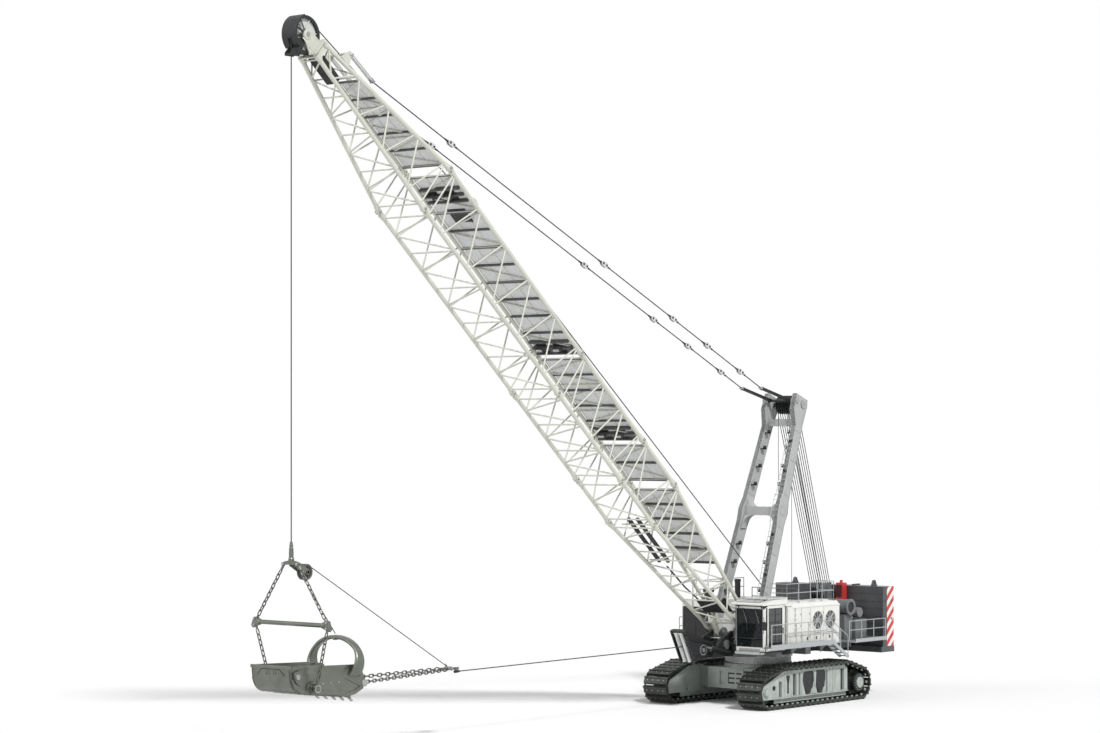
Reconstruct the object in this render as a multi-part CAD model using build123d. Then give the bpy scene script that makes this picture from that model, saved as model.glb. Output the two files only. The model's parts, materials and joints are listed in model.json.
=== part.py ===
from build123d import *
import math
import os

# Crawler dragline excavator with a lattice boom. Millimetres.
# The origin is on the ground at the swing centre, +X towards the boom, +Y to the cab side, +Z up.

# Gap between touching pieces, and the radial play of a pin that something turns on
SEAT = 0.3
PLAY = 0.08

# Crawler tracks
SHOE_WIDTH = 1320
TRACK_CENTRE = 2560
WHEEL_X = 3500
LOOP_RADIUS = 620
SHOE_DEPTH = 140
SHOE_PITCH = 380
TOP_RUN_FRONT = 2250
TOP_RUN_REAR = -2500
TOP_RUN_Z = 1840
TOP_CORNER_RADIUS = 250
WHEEL_Z = LOOP_RADIUS + SHOE_DEPTH

# Track frames and their running gear
FRAME_HALF = 400
SKIRT_HALF = 320
FRAME_FLOOR = 440
FRAME_CLEARANCE = 90
FRAME_REAR = -2700
COVER_PLATE = 40
IDLER_HALF = 170
IDLER_RADIUS = 610
SPROCKET_RADIUS = 610
SPROCKET_TEETH = 14
HUB_RADIUS = 330
ROLLER_RADIUS = 130
ROLLER_COUNT = 12
ROLLER_SPACING = 480

# Carbody and swing bearing
CARBODY_HALF_X = 1500
CARBODY_TOP = 1550
CARBODY_FLOOR = 620
BEARING_RADIUS = 1450
BEARING_BORE = 1050
BEARING_HEIGHT = 600

# Revolving frame
DECK_Z = CARBODY_TOP + BEARING_HEIGHT
DECK_TOP = 2580
DECK_FRONT = 2700
DECK_HALF = 1330

# Houses on both sides of the winches
SIDE_Y = 2750
HOUSE_INNER = 1480
HOUSE_TOP = 4480
HOUSE_FRONT = 1620
HOUSE_REAR = -2400
HOUSE_WALL = 60
REAR_HOUSE_OUTER = 1750
REAR_HOUSE_REAR = -4900
PORTHOLE_RADIUS = 430
PORTHOLES = (-680, -1650)
PORTHOLE_Z = 3680
LOUVRE_X = 1040

# Cab
CAB_REAR = 1760
CAB_FRONT = 3330
CAB_INNER = 1500
CAB_FLOOR = 2450
CAB_TOP = 4500
CAB_WALL = 60
CANOPY_TOP = 4850
DOOR_TRAVEL = 750

# Walkways and rails
WALK_Z = 2700
WALK_OUTER = 3250
WALK_THICK = 60
RAIL_HEIGHT = 900
RAIL_TUBE = 40

# Counterweight
WEIGHT_FRONT = -5520
WEIGHT_REAR = -6450
WEIGHT_HALF = 3000
WEIGHT_FLOOR = 1980
WEIGHT_TOP = 4960
WEIGHT_BASE = 260
WEIGHT_LIP = 120
LIFT_EYE_X = -5980
LIFT_EYE_Y = 2200
LIFT_EYE_RISE = 150
LIFT_EYE_RADIUS = 60
LIFT_EYE_THICK = 80
DECK_REAR = WEIGHT_FRONT + WEIGHT_LIP + SEAT

# Boom, measured from its foot pin along the boom, across its depth and across its width
FOOT_X = 1700
FOOT_Z = 3100
BOOM_ANGLE = 41.16
FOOT_HALF_WIDTH = 850
FOOT_HALF_DEPTH = 240
BOOM_HALF_WIDTH = 1180
BOOM_HALF_DEPTH = 1100
HEAD_HALF_WIDTH = 400
HEAD_HALF_DEPTH = 300
FOOT_PIN_RADIUS = 110
CHORD_HALF = 95
LACE_HALF = 38
LACE_THICK = 70
FORK_HALF = 120
FORK_LENGTH = 260

# Sections of the boom: name, where it starts, where it ends, bays
BOOM_SECTIONS = (
    ("boom_butt", 900, 8900, 4),
    ("boom_insert_short", 8900, 11750, 1),
    ("boom_insert_middle", 11750, 17150, 3),
    ("boom_insert_long", 17150, 27700, 5),
    ("boom_head", 27700, 35200, 4),
)
BUTT_END = 8900
HEAD_START = 27700
HEAD_END = 35200

# Head sheave and the guard that hangs from its axle round the hoist rope
GUARD_STRAP = 12
GUARD_DROP = 800
SHEAVE_S = 35800
SHEAVE_W = 100
SHEAVE_RADIUS = 720
SHEAVE_GROOVE = 620
SHEAVE_HALF = 130
SHEAVE_PIN = 90
CHEEK = 50

# Mast
MAST_FOOT_Y = 1210
MAST_HEAD_X = -2200
MAST_HEAD_Z = 13250
MAST_HEAD_Y = 780
MAST_LEG_HALF = 130
MAST_SHEAVE_RADIUS = 420
MAST_SHEAVE_COUNT = 6
MAST_SHEAVE_PIN = 80
MAST_NOSE = 520
MAST_NOSE_PIN = 60

# Pendants
PENDANT_Y = 530
PENDANT_RADIUS = 32
PENDANT_PLATE = 60
PENDANT_LUG_S = 34000
PENDANT_LUG_RISE = 420

# Bucket
TRUNNION_X = 29110
TRUNNION_Z = 2600
TRUNNION_RADIUS = 110
SHACKLE_HALF = 45
SHACKLE_RADIUS = 165
BUCKET_HALF = 1000
BUCKET_WALL = 60
SPREADER_Z = 4950
SPREADER_HALF = 1900
EQUALIZER_Z = 7150
EQUALIZER_HALF = 360
HITCH_X = 26400
HITCH_Z = 2630
HITCH_RADIUS = 60
YOKE_X = 20500
YOKE_Z = 2740
CHAIN_BAR = 50
CHAIN_PITCH = 325

# Drag rope and its fairlead
FAIRLEAD_X = 5530
FAIRLEAD_Z = 2730
FAIRLEAD_LEAN = 27.7
FAIRLEAD_ROLLER = 110
FAIRLEAD_HALF_LENGTH = 720
FAIRLEAD_CHEEK = 330
ROPE_RADIUS = 22


def polygon(points):
    return Face(Wire.make_polygon([Vector(*p) for p in points], close=True))


def prism(points, vector):
    """Solid from a flat polygon of 3-D points moved along a vector."""
    return Solid.extrude(polygon(points), Vector(*vector))


def block(x0, x1, y0, y1, z0, z1):
    return prism([(x0, y0, z0), (x1, y0, z0), (x1, y1, z0), (x0, y1, z0)], (0, 0, z1 - z0))


def side_plate(outline, y0, y1):
    """Plate from an outline of (x, z) points, from y0 to y1."""
    return prism([(x, y0, z) for x, z in outline], (0, y1 - y0, 0))


def cylinder(start, end, radius):
    start, end = Vector(*start), Vector(*end)
    return Solid.make_cylinder(radius, (end - start).length, Plane(origin=start, z_dir=end - start))


def ring(start, end, outer, inner):
    return cylinder(start, end, outer) - cylinder(start, end, inner)


def bar(start, end, half, sides=4, up=(0, 0, 1)):
    """Straight bar of a regular section whose flats lie half away from its axis."""
    start, end = Vector(*start), Vector(*end)
    axis = (end - start).normalized()
    across = axis.cross(Vector(*up)).normalized()
    other = across.cross(axis)
    reach = half / math.cos(math.pi / sides)
    corners = []
    for k in range(sides):
        angle = (k + 0.5) * 2 * math.pi / sides
        corners.append(start + across * (reach * math.cos(angle)) + other * (reach * math.sin(angle)))
    return prism([tuple(c) for c in corners], tuple(end - start))


def mirrored(shape):
    return shape.mirror(Plane.XZ)


def both_sides(shapes):
    return list(shapes) + [mirrored(s) for s in shapes]


def save(node, shapes):
    """Write the solids of one node."""
    solids = []
    for shape in shapes if isinstance(shapes, (list, tuple)) else [shapes]:
        solids.extend(shape.solids())
    shape = solids[0] if len(solids) == 1 else Compound(solids)
    export_step(shape, f"parts/{node}.step")


# The belt that a track follows


def belt_runs(circles):
    """Straight runs of a belt round circles (x, z, radius) in anticlockwise order."""
    runs = []
    for (ax, az, ar), (bx, bz, br) in zip(circles, circles[1:] + circles[:1]):
        heading = math.atan2(bz - az, bx - ax)
        normal = heading - math.acos((ar - br) / math.hypot(bx - ax, bz - az))
        across, up = math.cos(normal), math.sin(normal)
        runs.append((normal, (ax + ar * across, az + ar * up), (bx + br * across, bz + br * up), (bx, bz, br)))
    return runs


def belt_line(circles, step):
    """Points and outward normals at even steps round the belt, with the step that fits."""
    pieces = []
    runs = belt_runs(circles)
    for (normal, start, end, circle), following in zip(runs, runs[1:] + runs[:1]):
        pieces.append(("run", math.dist(start, end), normal, start, end))
        sweep = (following[0] - normal) % (2 * math.pi)
        pieces.append(("bend", circle[2] * sweep, normal, circle, sweep))
    length = sum(piece[1] for piece in pieces)
    count = round(length / step)

    def at(distance, offset):
        distance %= length
        for kind, span, normal, first, second in pieces:
            if distance <= span:
                part = distance / span
                break
            distance -= span
        if kind == "run":
            x = first[0] + (second[0] - first[0]) * part
            z = first[1] + (second[1] - first[1]) * part
            return x + offset * math.cos(normal), z + offset * math.sin(normal)
        angle = normal + second * part
        reach = first[2] + offset
        return first[0] + reach * math.cos(angle), first[1] + reach * math.sin(angle)

    return at, length / count, count


def loop_circles(radius_change=0):
    corner_z = TOP_RUN_Z - SHOE_DEPTH - TOP_CORNER_RADIUS
    return [
        (-WHEEL_X, WHEEL_Z, LOOP_RADIUS + radius_change),
        (WHEEL_X, WHEEL_Z, LOOP_RADIUS + radius_change),
        (TOP_RUN_FRONT, corner_z, TOP_CORNER_RADIUS + radius_change),
        (TOP_RUN_REAR, corner_z, TOP_CORNER_RADIUS + radius_change),
    ]


# Outline of one shoe: place along the pitch, height above the inner line
SHOE_OUTLINE = ((0.06, 70), (0.12, SHOE_DEPTH), (0.88, SHOE_DEPTH), (0.94, 70))


def track():
    at, pitch, count = belt_line(loop_circles(), SHOE_PITCH)
    outer = [at((k + part) * pitch, height) for k in range(count) for part, height in SHOE_OUTLINE]
    inner = [at((k + part) * pitch, 0) for k in range(count) for part in (0.25, 0.75)]
    y0 = TRACK_CENTRE - SHOE_WIDTH / 2
    wide = side_plate(outer, y0, y0 + SHOE_WIDTH)
    return wide - side_plate(inner, y0 - 1, y0 + SHOE_WIDTH + 1)


# Openings in a track frame's cover plate: x from, x to, z from, z to
COVER_SLOTS = (
    (2350, 2550, 500, 1180),
    (1250, 1500, 500, 1450),
    (950, 1080, 500, 1450),
    (-1130, -1000, 500, 1450),
    (-2420, -2150, 500, 1450),
)
# Hexagonal shield openings: centre x, half width, bottom z, top z
COVER_SHIELDS = ((330, 400, 480, 1500), (-570, 400, 480, 1500))


def track_frame():
    corner_z = TOP_RUN_Z - SHOE_DEPTH - FRAME_CLEARANCE
    nose = WHEEL_X + 300
    shoulder = (nose, WHEEL_Z + 250)
    outline = [
        (FRAME_REAR, FRAME_FLOOR),
        (nose, FRAME_FLOOR),
        shoulder,
        (TOP_RUN_FRONT, corner_z),
        (FRAME_REAR + 250, corner_z),
        (FRAME_REAR, corner_z - 150),
    ]
    low, high = TRACK_CENTRE - FRAME_HALF, TRACK_CENTRE + FRAME_HALF
    body = side_plate(outline, low, high)
    # The idler turns in a slot at the front.
    slot = block(WHEEL_X - 700, nose + 1, TRACK_CENTRE - IDLER_HALF - 30, TRACK_CENTRE + IDLER_HALF + 30, 0, 2000)
    body -= slot
    for x0, x1, z0, z1 in COVER_SLOTS:
        body -= block(x0, x1, high - 120, high + 1, z0, z1)
        body -= block(x0, x1, low - 1, low + 60, z0, z1)
    for x, half, z0, z1 in COVER_SHIELDS:
        middle = (z0 + z1) / 2
        shield = [
            (x - half / 2, z0),
            (x + half / 2, z0),
            (x + half, middle),
            (x + half * 0.7, z1),
            (x - half * 0.7, z1),
            (x - half, middle),
        ]
        body -= side_plate(shield, high - 150, high + 1)
    # Skirts carry the roller axles.
    for y in (TRACK_CENTRE - SKIRT_HALF, TRACK_CENTRE + SKIRT_HALF - COVER_PLATE):
        body += block(FRAME_REAR, WHEEL_X - 700, y, y + COVER_PLATE, FRAME_FLOOR - 200, FRAME_FLOOR + 10)
    return body


def track_rollers():
    axle_z = SHOE_DEPTH + SEAT + ROLLER_RADIUS
    reach = SKIRT_HALF - COVER_PLATE - SEAT
    rollers = []
    for k in range(ROLLER_COUNT):
        x = (k - (ROLLER_COUNT - 1) / 2) * ROLLER_SPACING
        rollers.append(cylinder((x, TRACK_CENTRE - reach, axle_z), (x, TRACK_CENTRE + reach, axle_z), ROLLER_RADIUS))
    return rollers


def idler():
    y0, y1 = TRACK_CENTRE - IDLER_HALF, TRACK_CENTRE + IDLER_HALF
    wheel = cylinder((WHEEL_X, y0, WHEEL_Z), (WHEEL_X, y1, WHEEL_Z), IDLER_RADIUS)
    axle = cylinder((WHEEL_X, y0 - 29.7, WHEEL_Z), (WHEEL_X, y1 + 29.7, WHEEL_Z), 120)
    return wheel + axle


def sprocket():
    """Toothed drive wheel with the drive's round hub on its outer side."""
    points = []
    for k in range(SPROCKET_TEETH):
        for part, radius in ((0.0, 0.88), (0.3, 0.88), (0.45, 1.0), (0.85, 1.0)):
            angle = (k + part) * 2 * math.pi / SPROCKET_TEETH
            reach = SPROCKET_RADIUS * radius
            points.append((-WHEEL_X + reach * math.cos(angle), WHEEL_Z + reach * math.sin(angle)))
    y0, y1 = TRACK_CENTRE - 200, TRACK_CENTRE + 200
    wheel = side_plate(points, y0, y1)
    drum = cylinder((-WHEEL_X, TRACK_CENTRE - 400, WHEEL_Z), (-WHEEL_X, TRACK_CENTRE + 430, WHEEL_Z), HUB_RADIUS)
    cap = cylinder((-WHEEL_X, TRACK_CENTRE + 420, WHEEL_Z), (-WHEEL_X, TRACK_CENTRE + 560, WHEEL_Z), HUB_RADIUS * 0.7)
    arm = block(-WHEEL_X, FRAME_REAR - SEAT, TRACK_CENTRE - 390, TRACK_CENTRE - 250, WHEEL_Z - 220, WHEEL_Z + 320)
    return wheel + drum + cap + arm


def carbody():
    """Cross-shaped box that joins the two track frames under the swing bearing."""
    reach = TRACK_CENTRE - FRAME_HALF - SEAT
    half = CARBODY_HALF_X
    corner = 1250
    plan = [
        (half, -reach + 500), (half, reach - 500), (corner, reach), (-corner, reach),
        (-half, reach - 500), (-half, -reach + 500), (-corner, -reach), (corner, -reach),
    ]
    body = prism([(x, y, CARBODY_FLOOR) for x, y in plan], (0, 0, CARBODY_TOP - CARBODY_FLOOR))
    body += cylinder((0, 0, CARBODY_TOP - 10), (0, 0, CARBODY_TOP + 180), BEARING_RADIUS + 60)
    # Recessed pockets in the front face
    for y in (-900, 900):
        body -= block(half - 60, half + 1, y - 130, y + 130, 800, 1380)
    return body


def swing_bearing():
    z0 = CARBODY_TOP + 180 + SEAT
    return ring((0, 0, z0), (0, 0, DECK_Z - SEAT), BEARING_RADIUS, BEARING_BORE)


# Upper works


def foot_bracket_outline():
    """Upright lug round the foot pin: rounded top, sloping sides."""
    points = [(FOOT_X - 520, DECK_TOP + SEAT), (FOOT_X + 520, DECK_TOP + SEAT)]
    for k in range(9):
        angle = math.radians(-20 + k * 220 / 8)
        points.append((FOOT_X + 250 * math.cos(angle), FOOT_Z + 250 * math.sin(angle)))
    return points


# Foot brackets in pairs: inner y, outer y
FOOT_BRACKETS = ((620, 700), (960, 1040), (1380, 1440))


def revolving_frame():
    plan = [
        (DECK_FRONT, -900), (DECK_FRONT, 900), (DECK_FRONT - 500, DECK_HALF), (DECK_REAR, DECK_HALF),
        (DECK_REAR, -DECK_HALF), (DECK_FRONT - 500, -DECK_HALF),
    ]
    deck = prism([(x, y, DECK_Z) for x, y in plan], (0, 0, DECK_TOP - DECK_Z))
    # Cross arms under the cab and both houses
    for x0, x1 in ((-2300, -1900), (-300, 100), (1900, 2300)):
        deck += block(x0, x1, -SIDE_Y + 100, SIDE_Y - 100, DECK_Z + 60, CAB_FLOOR - SEAT if x0 > 1000 else DECK_TOP)
    return deck


def foot_brackets():
    """Pairs of lugs that hold the foot pins of the boom and the mast."""
    outline = foot_bracket_outline()
    lugs = []
    for y0, y1 in FOOT_BRACKETS:
        lug = side_plate(outline, y0, y1)
        lugs.append(lug - cylinder((FOOT_X, y0 - 10, FOOT_Z), (FOOT_X, y1 + 10, FOOT_Z), FOOT_PIN_RADIUS))
    return both_sides(lugs)


def foot_pins():
    radius = FOOT_PIN_RADIUS - PLAY
    return both_sides([cylinder((FOOT_X, 560, FOOT_Z), (FOOT_X, 1460, FOOT_Z), radius)])


def house_shell(front, rear, inner, outer, top):
    """Closed machinery house of sheet walls with chamfered roof edge."""
    floor = DECK_TOP + SEAT
    chamfer = 160
    section = [
        (inner, floor), (outer, floor), (outer, top - chamfer), (outer - chamfer, top), (inner, top),
    ]
    shell = prism([(rear, y, z) for y, z in section], (front - rear, 0, 0))
    wall = HOUSE_WALL
    inside = [
        (inner + wall, floor + wall), (outer - wall, floor + wall), (outer - wall, top - chamfer),
        (outer - chamfer, top - wall), (inner + wall, top - wall),
    ]
    return shell - prism([(rear + wall, y, z) for y, z in inside], (front - rear - 2 * wall, 0, 0))


def house_left():
    house = house_shell(HOUSE_FRONT, HOUSE_REAR, HOUSE_INNER, SIDE_Y, HOUSE_TOP)
    # Column of louvre slots
    for k in range(6):
        z = 3050 + k * 220
        house -= block(LOUVRE_X - 55, LOUVRE_X + 55, SIDE_Y - 30, SIDE_Y + 1, z, z + 150)
    # Round fan openings, each with a drip tray below
    for x in PORTHOLES:
        house -= cylinder((x, SIDE_Y - 40, PORTHOLE_Z), (x, SIDE_Y + 1, PORTHOLE_Z), PORTHOLE_RADIUS)
    return house


def house_right():
    return mirrored(house_shell(DECK_FRONT - 700, HOUSE_REAR, HOUSE_INNER, SIDE_Y, HOUSE_TOP))


def rear_house():
    floor = DECK_TOP + SEAT
    sides = both_sides([block(REAR_HOUSE_REAR, HOUSE_REAR - SEAT, 1100, REAR_HOUSE_OUTER, floor, HOUSE_TOP - 250)])
    return sides


def engine():
    floor = DECK_TOP + SEAT + HOUSE_WALL + SEAT
    return block(-1900, 400, -2450, -1650, floor, floor + 1300)


def drum(x, z, half, radius, flange):
    core = cylinder((x, -half, z), (x, half, z), radius)
    for y in (-half, half - 60):
        core += cylinder((x, y, z), (x, y + 60, z), flange)
    return core


# Winches between the houses: node, x, z, half length, barrel radius, flange radius
WINCHES = (
    ("drag_winch", -250, 3330, 900, 420, 620),
    ("hoist_winch", -1850, 3330, 900, 420, 620),
    ("luffing_winch", -3500, 3180, 700, 330, 480),
)


def winch(x, z, half, radius, flange):
    """Rope drum between two stands that bolt to the deck."""
    shapes = [drum(x, z, half, radius, flange)]
    for y in (half + SEAT, -half - SEAT - 80):
        outline = [(x - 420, DECK_TOP + SEAT), (x + 420, DECK_TOP + SEAT), (x + 200, z + 160), (x - 200, z + 160)]
        shapes.append(side_plate(outline, y, y + 80))
    return shapes


def counterweight():
    """Stacked slabs with lifting lugs and a base lip."""
    slab_count = 8
    slabs_floor = WEIGHT_FLOOR + WEIGHT_BASE
    pitch = (WEIGHT_TOP - slabs_floor) / slab_count
    lip = WEIGHT_FRONT + WEIGHT_LIP
    slabs = [block(WEIGHT_REAR, lip, -WEIGHT_HALF, WEIGHT_HALF, WEIGHT_FLOOR, slabs_floor)]
    for k in range(slab_count):
        z = slabs_floor + k * pitch + SEAT
        for y0, y1 in ((-WEIGHT_HALF, -SEAT), (SEAT, WEIGHT_HALF)):
            slabs.append(block(WEIGHT_REAR + 60, WEIGHT_FRONT, y0, y1, z, z + pitch - SEAT))
    # Lifting lugs on the top slab
    base = WEIGHT_TOP + SEAT
    centre = base + LIFT_EYE_RISE
    outline = [(LIFT_EYE_X - 230, base), (LIFT_EYE_X + 230, base)]
    for k in range(7):
        angle = math.radians(k * 30)
        reach = LIFT_EYE_RADIUS + 70
        outline.append((LIFT_EYE_X + reach * math.cos(angle), centre + reach * math.sin(angle)))
    low, high = LIFT_EYE_Y - LIFT_EYE_THICK / 2, LIFT_EYE_Y + LIFT_EYE_THICK / 2
    lug = side_plate(outline, low, high)
    lug -= cylinder((LIFT_EYE_X, low - 10, centre), (LIFT_EYE_X, high + 10, centre), LIFT_EYE_RADIUS)
    return slabs + both_sides([lug])


def cab_shell():
    """Hollow cab body with its windows and the door's opening cut."""
    x0, x1, y0, y1 = CAB_REAR, CAB_FRONT, CAB_INNER, SIDE_Y
    z0, z1 = CAB_FLOOR, CAB_TOP
    wall = CAB_WALL
    shell = block(x0, x1, y0, y1, z0, z1)
    shell -= block(x0 + wall, x1 - wall, y0 + wall, y1 - wall, z0 + wall, z1 - wall)
    frame = 110
    # Windscreen, side window, door opening, rear window
    shell -= block(x1 - wall - 1, x1 + 1, y0 + frame, y1 - frame, z0 + 330, z1 - frame)
    shell -= block(x0 + frame, x1 - frame, y0 - 1, y0 + wall + 1, z0 + 900, z1 - frame)
    shell -= block(x0 + 300, x1 - 250, y1 - wall - 1, y1 + 1, z0 + 160, z1 - frame)
    shell -= block(x0 - 1, x0 + wall + 1, y0 + 250, y1 - 250, z0 + 1100, z1 - frame)
    # Rail that the door hangs from
    shell += block(x0 - DOOR_TRAVEL + 240, x1 - 190, y1 - 5, y1 + 50, z1 - 60 + SEAT, z1 - 20)
    return shell


def cab_glass():
    """Panes set in the middle of the window frames."""
    x0, x1, y0, y1 = CAB_REAR, CAB_FRONT, CAB_INNER, SIDE_Y
    z0, z1 = CAB_FLOOR, CAB_TOP
    frame = 110 + SEAT
    middle = CAB_WALL / 2
    thick = 8
    windscreen = block(x1 - middle, x1 - middle + thick, y0 + frame, y1 - frame, z0 + 330 + SEAT, z1 - frame)
    inner_side = block(x0 + frame, x1 - frame, y0 + middle, y0 + middle + thick, z0 + 900 + SEAT, z1 - frame)
    rear = block(x0 + middle, x0 + middle + thick, y0 + 250 + SEAT, y1 - 250 - SEAT, z0 + 1100 + SEAT, z1 - frame)
    return [windscreen, inner_side, rear]


def cab_door():
    """Sliding door outside the cab's left wall, with its pane in its frame."""
    x0, x1 = CAB_REAR + 240, CAB_FRONT - 190
    z0, z1 = CAB_FLOOR + 100, CAB_TOP - 60
    y0 = SIDE_Y + 6
    door = block(x0, x1, y0, y0 + 40, z0, z1)
    door -= block(x0 + 90, x1 - 90, y0 - 1, y0 + 41, z0 + 120, z1 - 90)
    pane = block(x0 + 90 + SEAT, x1 - 90 - SEAT, y0 + 16, y0 + 24, z0 + 120 + SEAT, z1 - 90 - SEAT)
    return [door, pane]


def cab_roof():
    """Canopy that overhangs the cab, lower at its front edge."""
    z0 = CAB_TOP + SEAT
    outline = [
        (CAB_REAR - 60, z0), (CAB_FRONT + 180, z0), (CAB_FRONT + 200, z0 + 90),
        (CAB_FRONT - 450, CANOPY_TOP), (CAB_REAR - 60, CANOPY_TOP),
    ]
    return side_plate(outline, CAB_INNER - 60, SIDE_Y + 60)


def cab_seat():
    x, y = CAB_REAR + 620, (CAB_INNER + SIDE_Y) / 2
    z = CAB_FLOOR + CAB_WALL + SEAT
    seat = block(x - 150, x + 150, y - 150, y + 150, z, z + 380)
    seat += block(x - 250, x + 280, y - 260, y + 260, z + 370, z + 520)
    seat += block(x - 300, x - 180, y - 250, y + 250, z + 370, z + 1180)
    for side in (-1, 1):
        seat += block(x - 200, x + 300, y + side * 330 - 60, y + side * 330 + 60, z + 600, z + 720)
        seat += block(x - 100, x + 0, y + side * 270 - 60, y + side * 270 + 60, z + 450, z + 620)
    return seat


# Walkway decks: x from, x to, y from, y to
WALKWAYS = (
    (-2400, 3520, SIDE_Y + 70, WALK_OUTER),
    (-2400, 3520, -WALK_OUTER, -SIDE_Y - 70),
)


def walkways():
    """Side walkways with toe boards, and the step in front of the cab."""
    shapes = []
    for x0, x1, y0, y1 in WALKWAYS:
        deck = block(x0, x1, y0, y1, WALK_Z - WALK_THICK, WALK_Z)
        edge = y1 if y1 > 0 else y0
        deck += block(x0, x1, edge - 20, edge + 20, WALK_Z - 120, WALK_Z + 120)
        inner = SIDE_Y + SEAT if y0 > 0 else -SIDE_Y - SEAT
        for x in (-2200, -600, 1000):
            low, high = sorted((inner, edge))
            deck += block(x, x + 80, low, high, WALK_Z - 200, WALK_Z - WALK_THICK + 5)
        shapes.append(deck)
    step = block(CAB_FRONT + SEAT, CAB_FRONT + 320, CAB_INNER - 100, SIDE_Y, CAB_FLOOR - 60, CAB_FLOOR + 60)
    shapes.append(step)
    return shapes


def railing(points, base, height, spacing):
    """Posts and two rails along a path of (x, y) points."""
    half = RAIL_TUBE / 2
    shapes = []
    for (ax, ay), (bx, by) in zip(points, points[1:]):
        span = math.hypot(bx - ax, by - ay)
        count = max(1, round(span / spacing))
        dx, dy = (bx - ax) / span, (by - ay) / span
        trim = half + SEAT
        for level in (height, height / 2):
            start = (ax - dx * half if level == height else ax + dx * trim)
            z = base + level - half
            if level == height:
                shapes.append(bar((ax + dx * trim, ay + dy * trim, z), (bx - dx * trim, by - dy * trim, z), half, 4))
        for k in range(count + 1):
            x, y = ax + dx * span * k / count, ay + dy * span * k / count
            top = height - RAIL_TUBE - SEAT
            shapes.append(bar((x, y, base), (x, y, base + top), half, 4, up=(dx, dy, 0)))
    return shapes


def handrails():
    shapes = []
    z = WALK_Z + 120 + SEAT
    for side in (1, -1):
        shapes += railing([(3480, side * WALK_OUTER), (-2360, side * WALK_OUTER)], z, RAIL_HEIGHT, 1000)
        y = side * (SIDE_Y - 260)
        shapes += railing([(1300, y), (HOUSE_REAR + 100, y)], HOUSE_TOP + SEAT, RAIL_HEIGHT, 1200)
    return shapes


def rear_platform():
    """Left rear platform between the house and the counterweight."""
    x0, x1 = WEIGHT_FRONT + SEAT, HOUSE_REAR - 500
    shapes = []
    for side in (1, -1):
        y0, y1 = sorted((side * (REAR_HOUSE_OUTER + SEAT), side * (SIDE_Y + 100)))
        shapes.append(block(x0 + 130, x1, y0, y1, WALK_Z - WALK_THICK, WALK_Z))
    return shapes


def access_ladder():
    """Two stringers with steps, from the walkway down to above the track."""
    x0, x1 = HOUSE_REAR - SEAT - 460, HOUSE_REAR - SEAT
    y = SIDE_Y + 300
    top, bottom = WALK_Z, 2000
    ladder = block(x0, x0 + 30, y - 90, y + 90, bottom, top)
    ladder += block(x1 - 30, x1, y - 90, y + 90, bottom, top)
    for k in range(3):
        z = bottom + 60 + k * 270
        ladder += block(x0, x1, y - 90, y + 90, z, z + 30)
    return ladder


def fairlead_point(along, ahead):
    """Point (x, z) in the fairlead's leaning frame: up along its rollers, and ahead of them."""
    lean = math.radians(FAIRLEAD_LEAN)
    return (
        FAIRLEAD_X + along * math.sin(lean) + ahead * math.cos(lean),
        FAIRLEAD_Z + along * math.cos(lean) - ahead * math.sin(lean),
    )


def fairlead_frame():
    """Cheeks from the deck's front to the drag rope's rollers, tied at both roller ends."""
    x0 = DECK_FRONT + SEAT
    reach = FAIRLEAD_HALF_LENGTH + SEAT
    tie = 60
    outline = [
        (x0, DECK_Z + 30), (x0 + 1600, DECK_Z + 60), fairlead_point(-reach - tie, -160), fairlead_point(-reach - tie, 60),
        fairlead_point(reach + tie, 60), fairlead_point(reach + tie, -260), (x0 + 900, 3560), (x0, 3300),
    ]
    frame = None
    for y0, y1 in ((-FAIRLEAD_CHEEK - 60, -FAIRLEAD_CHEEK), (FAIRLEAD_CHEEK, FAIRLEAD_CHEEK + 60)):
        cheek = side_plate(outline, y0, y1)
        frame = cheek if frame is None else frame + cheek
    for along in (-reach - tie, reach):
        plate = [
            fairlead_point(along, -150), fairlead_point(along, 60),
            fairlead_point(along + tie, 60), fairlead_point(along + tie, -150),
        ]
        frame += side_plate(plate, -FAIRLEAD_CHEEK, FAIRLEAD_CHEEK)
    frame += block(x0, x0 + 400, -FAIRLEAD_CHEEK, FAIRLEAD_CHEEK, DECK_Z + 40, 2450)
    return frame


def fairlead_rollers():
    """Two leaning rollers with the rope between them."""
    rollers = []
    for side in (-1, 1):
        y = side * (FAIRLEAD_ROLLER + ROPE_RADIUS + SEAT)
        low, high = fairlead_point(-FAIRLEAD_HALF_LENGTH, 0), fairlead_point(FAIRLEAD_HALF_LENGTH, 0)
        rollers.append(cylinder((low[0], y, low[1]), (high[0], y, high[1]), FAIRLEAD_ROLLER))
    return rollers


def luffing_block():
    """Lower sheave block of the luffing ropes on the rear deck."""
    x, z = -4950, 4700
    reach = 400
    shapes = [cylinder((x, -reach + SEAT, z), (x, reach - SEAT, z), MAST_SHEAVE_PIN - SEAT)]
    for k in range(MAST_SHEAVE_COUNT):
        y = (k - (MAST_SHEAVE_COUNT - 1) / 2) * 120
        wheel = grooved_wheel(Vector(x, 0, z), 45, 380, 310, MAST_SHEAVE_PIN)
        shapes.append(wheel.translate((0, y, 0)))
    for y in (-reach - 60, reach):
        outline = [(x - 300, DECK_TOP + SEAT), (x + 300, DECK_TOP + SEAT), (x + 180, z + 180), (x - 180, z + 180)]
        shapes.append(side_plate(outline, y, y + 60))
    return shapes


# Boom


BOOM_U = Vector(math.cos(math.radians(BOOM_ANGLE)), 0, math.sin(math.radians(BOOM_ANGLE)))
BOOM_W = Vector(-math.sin(math.radians(BOOM_ANGLE)), 0, math.cos(math.radians(BOOM_ANGLE)))
FOOT = Vector(FOOT_X, 0, FOOT_Z)


def on_boom(s, w, y):
    return FOOT + BOOM_U * s + BOOM_W * w + Vector(0, y, 0)


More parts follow.
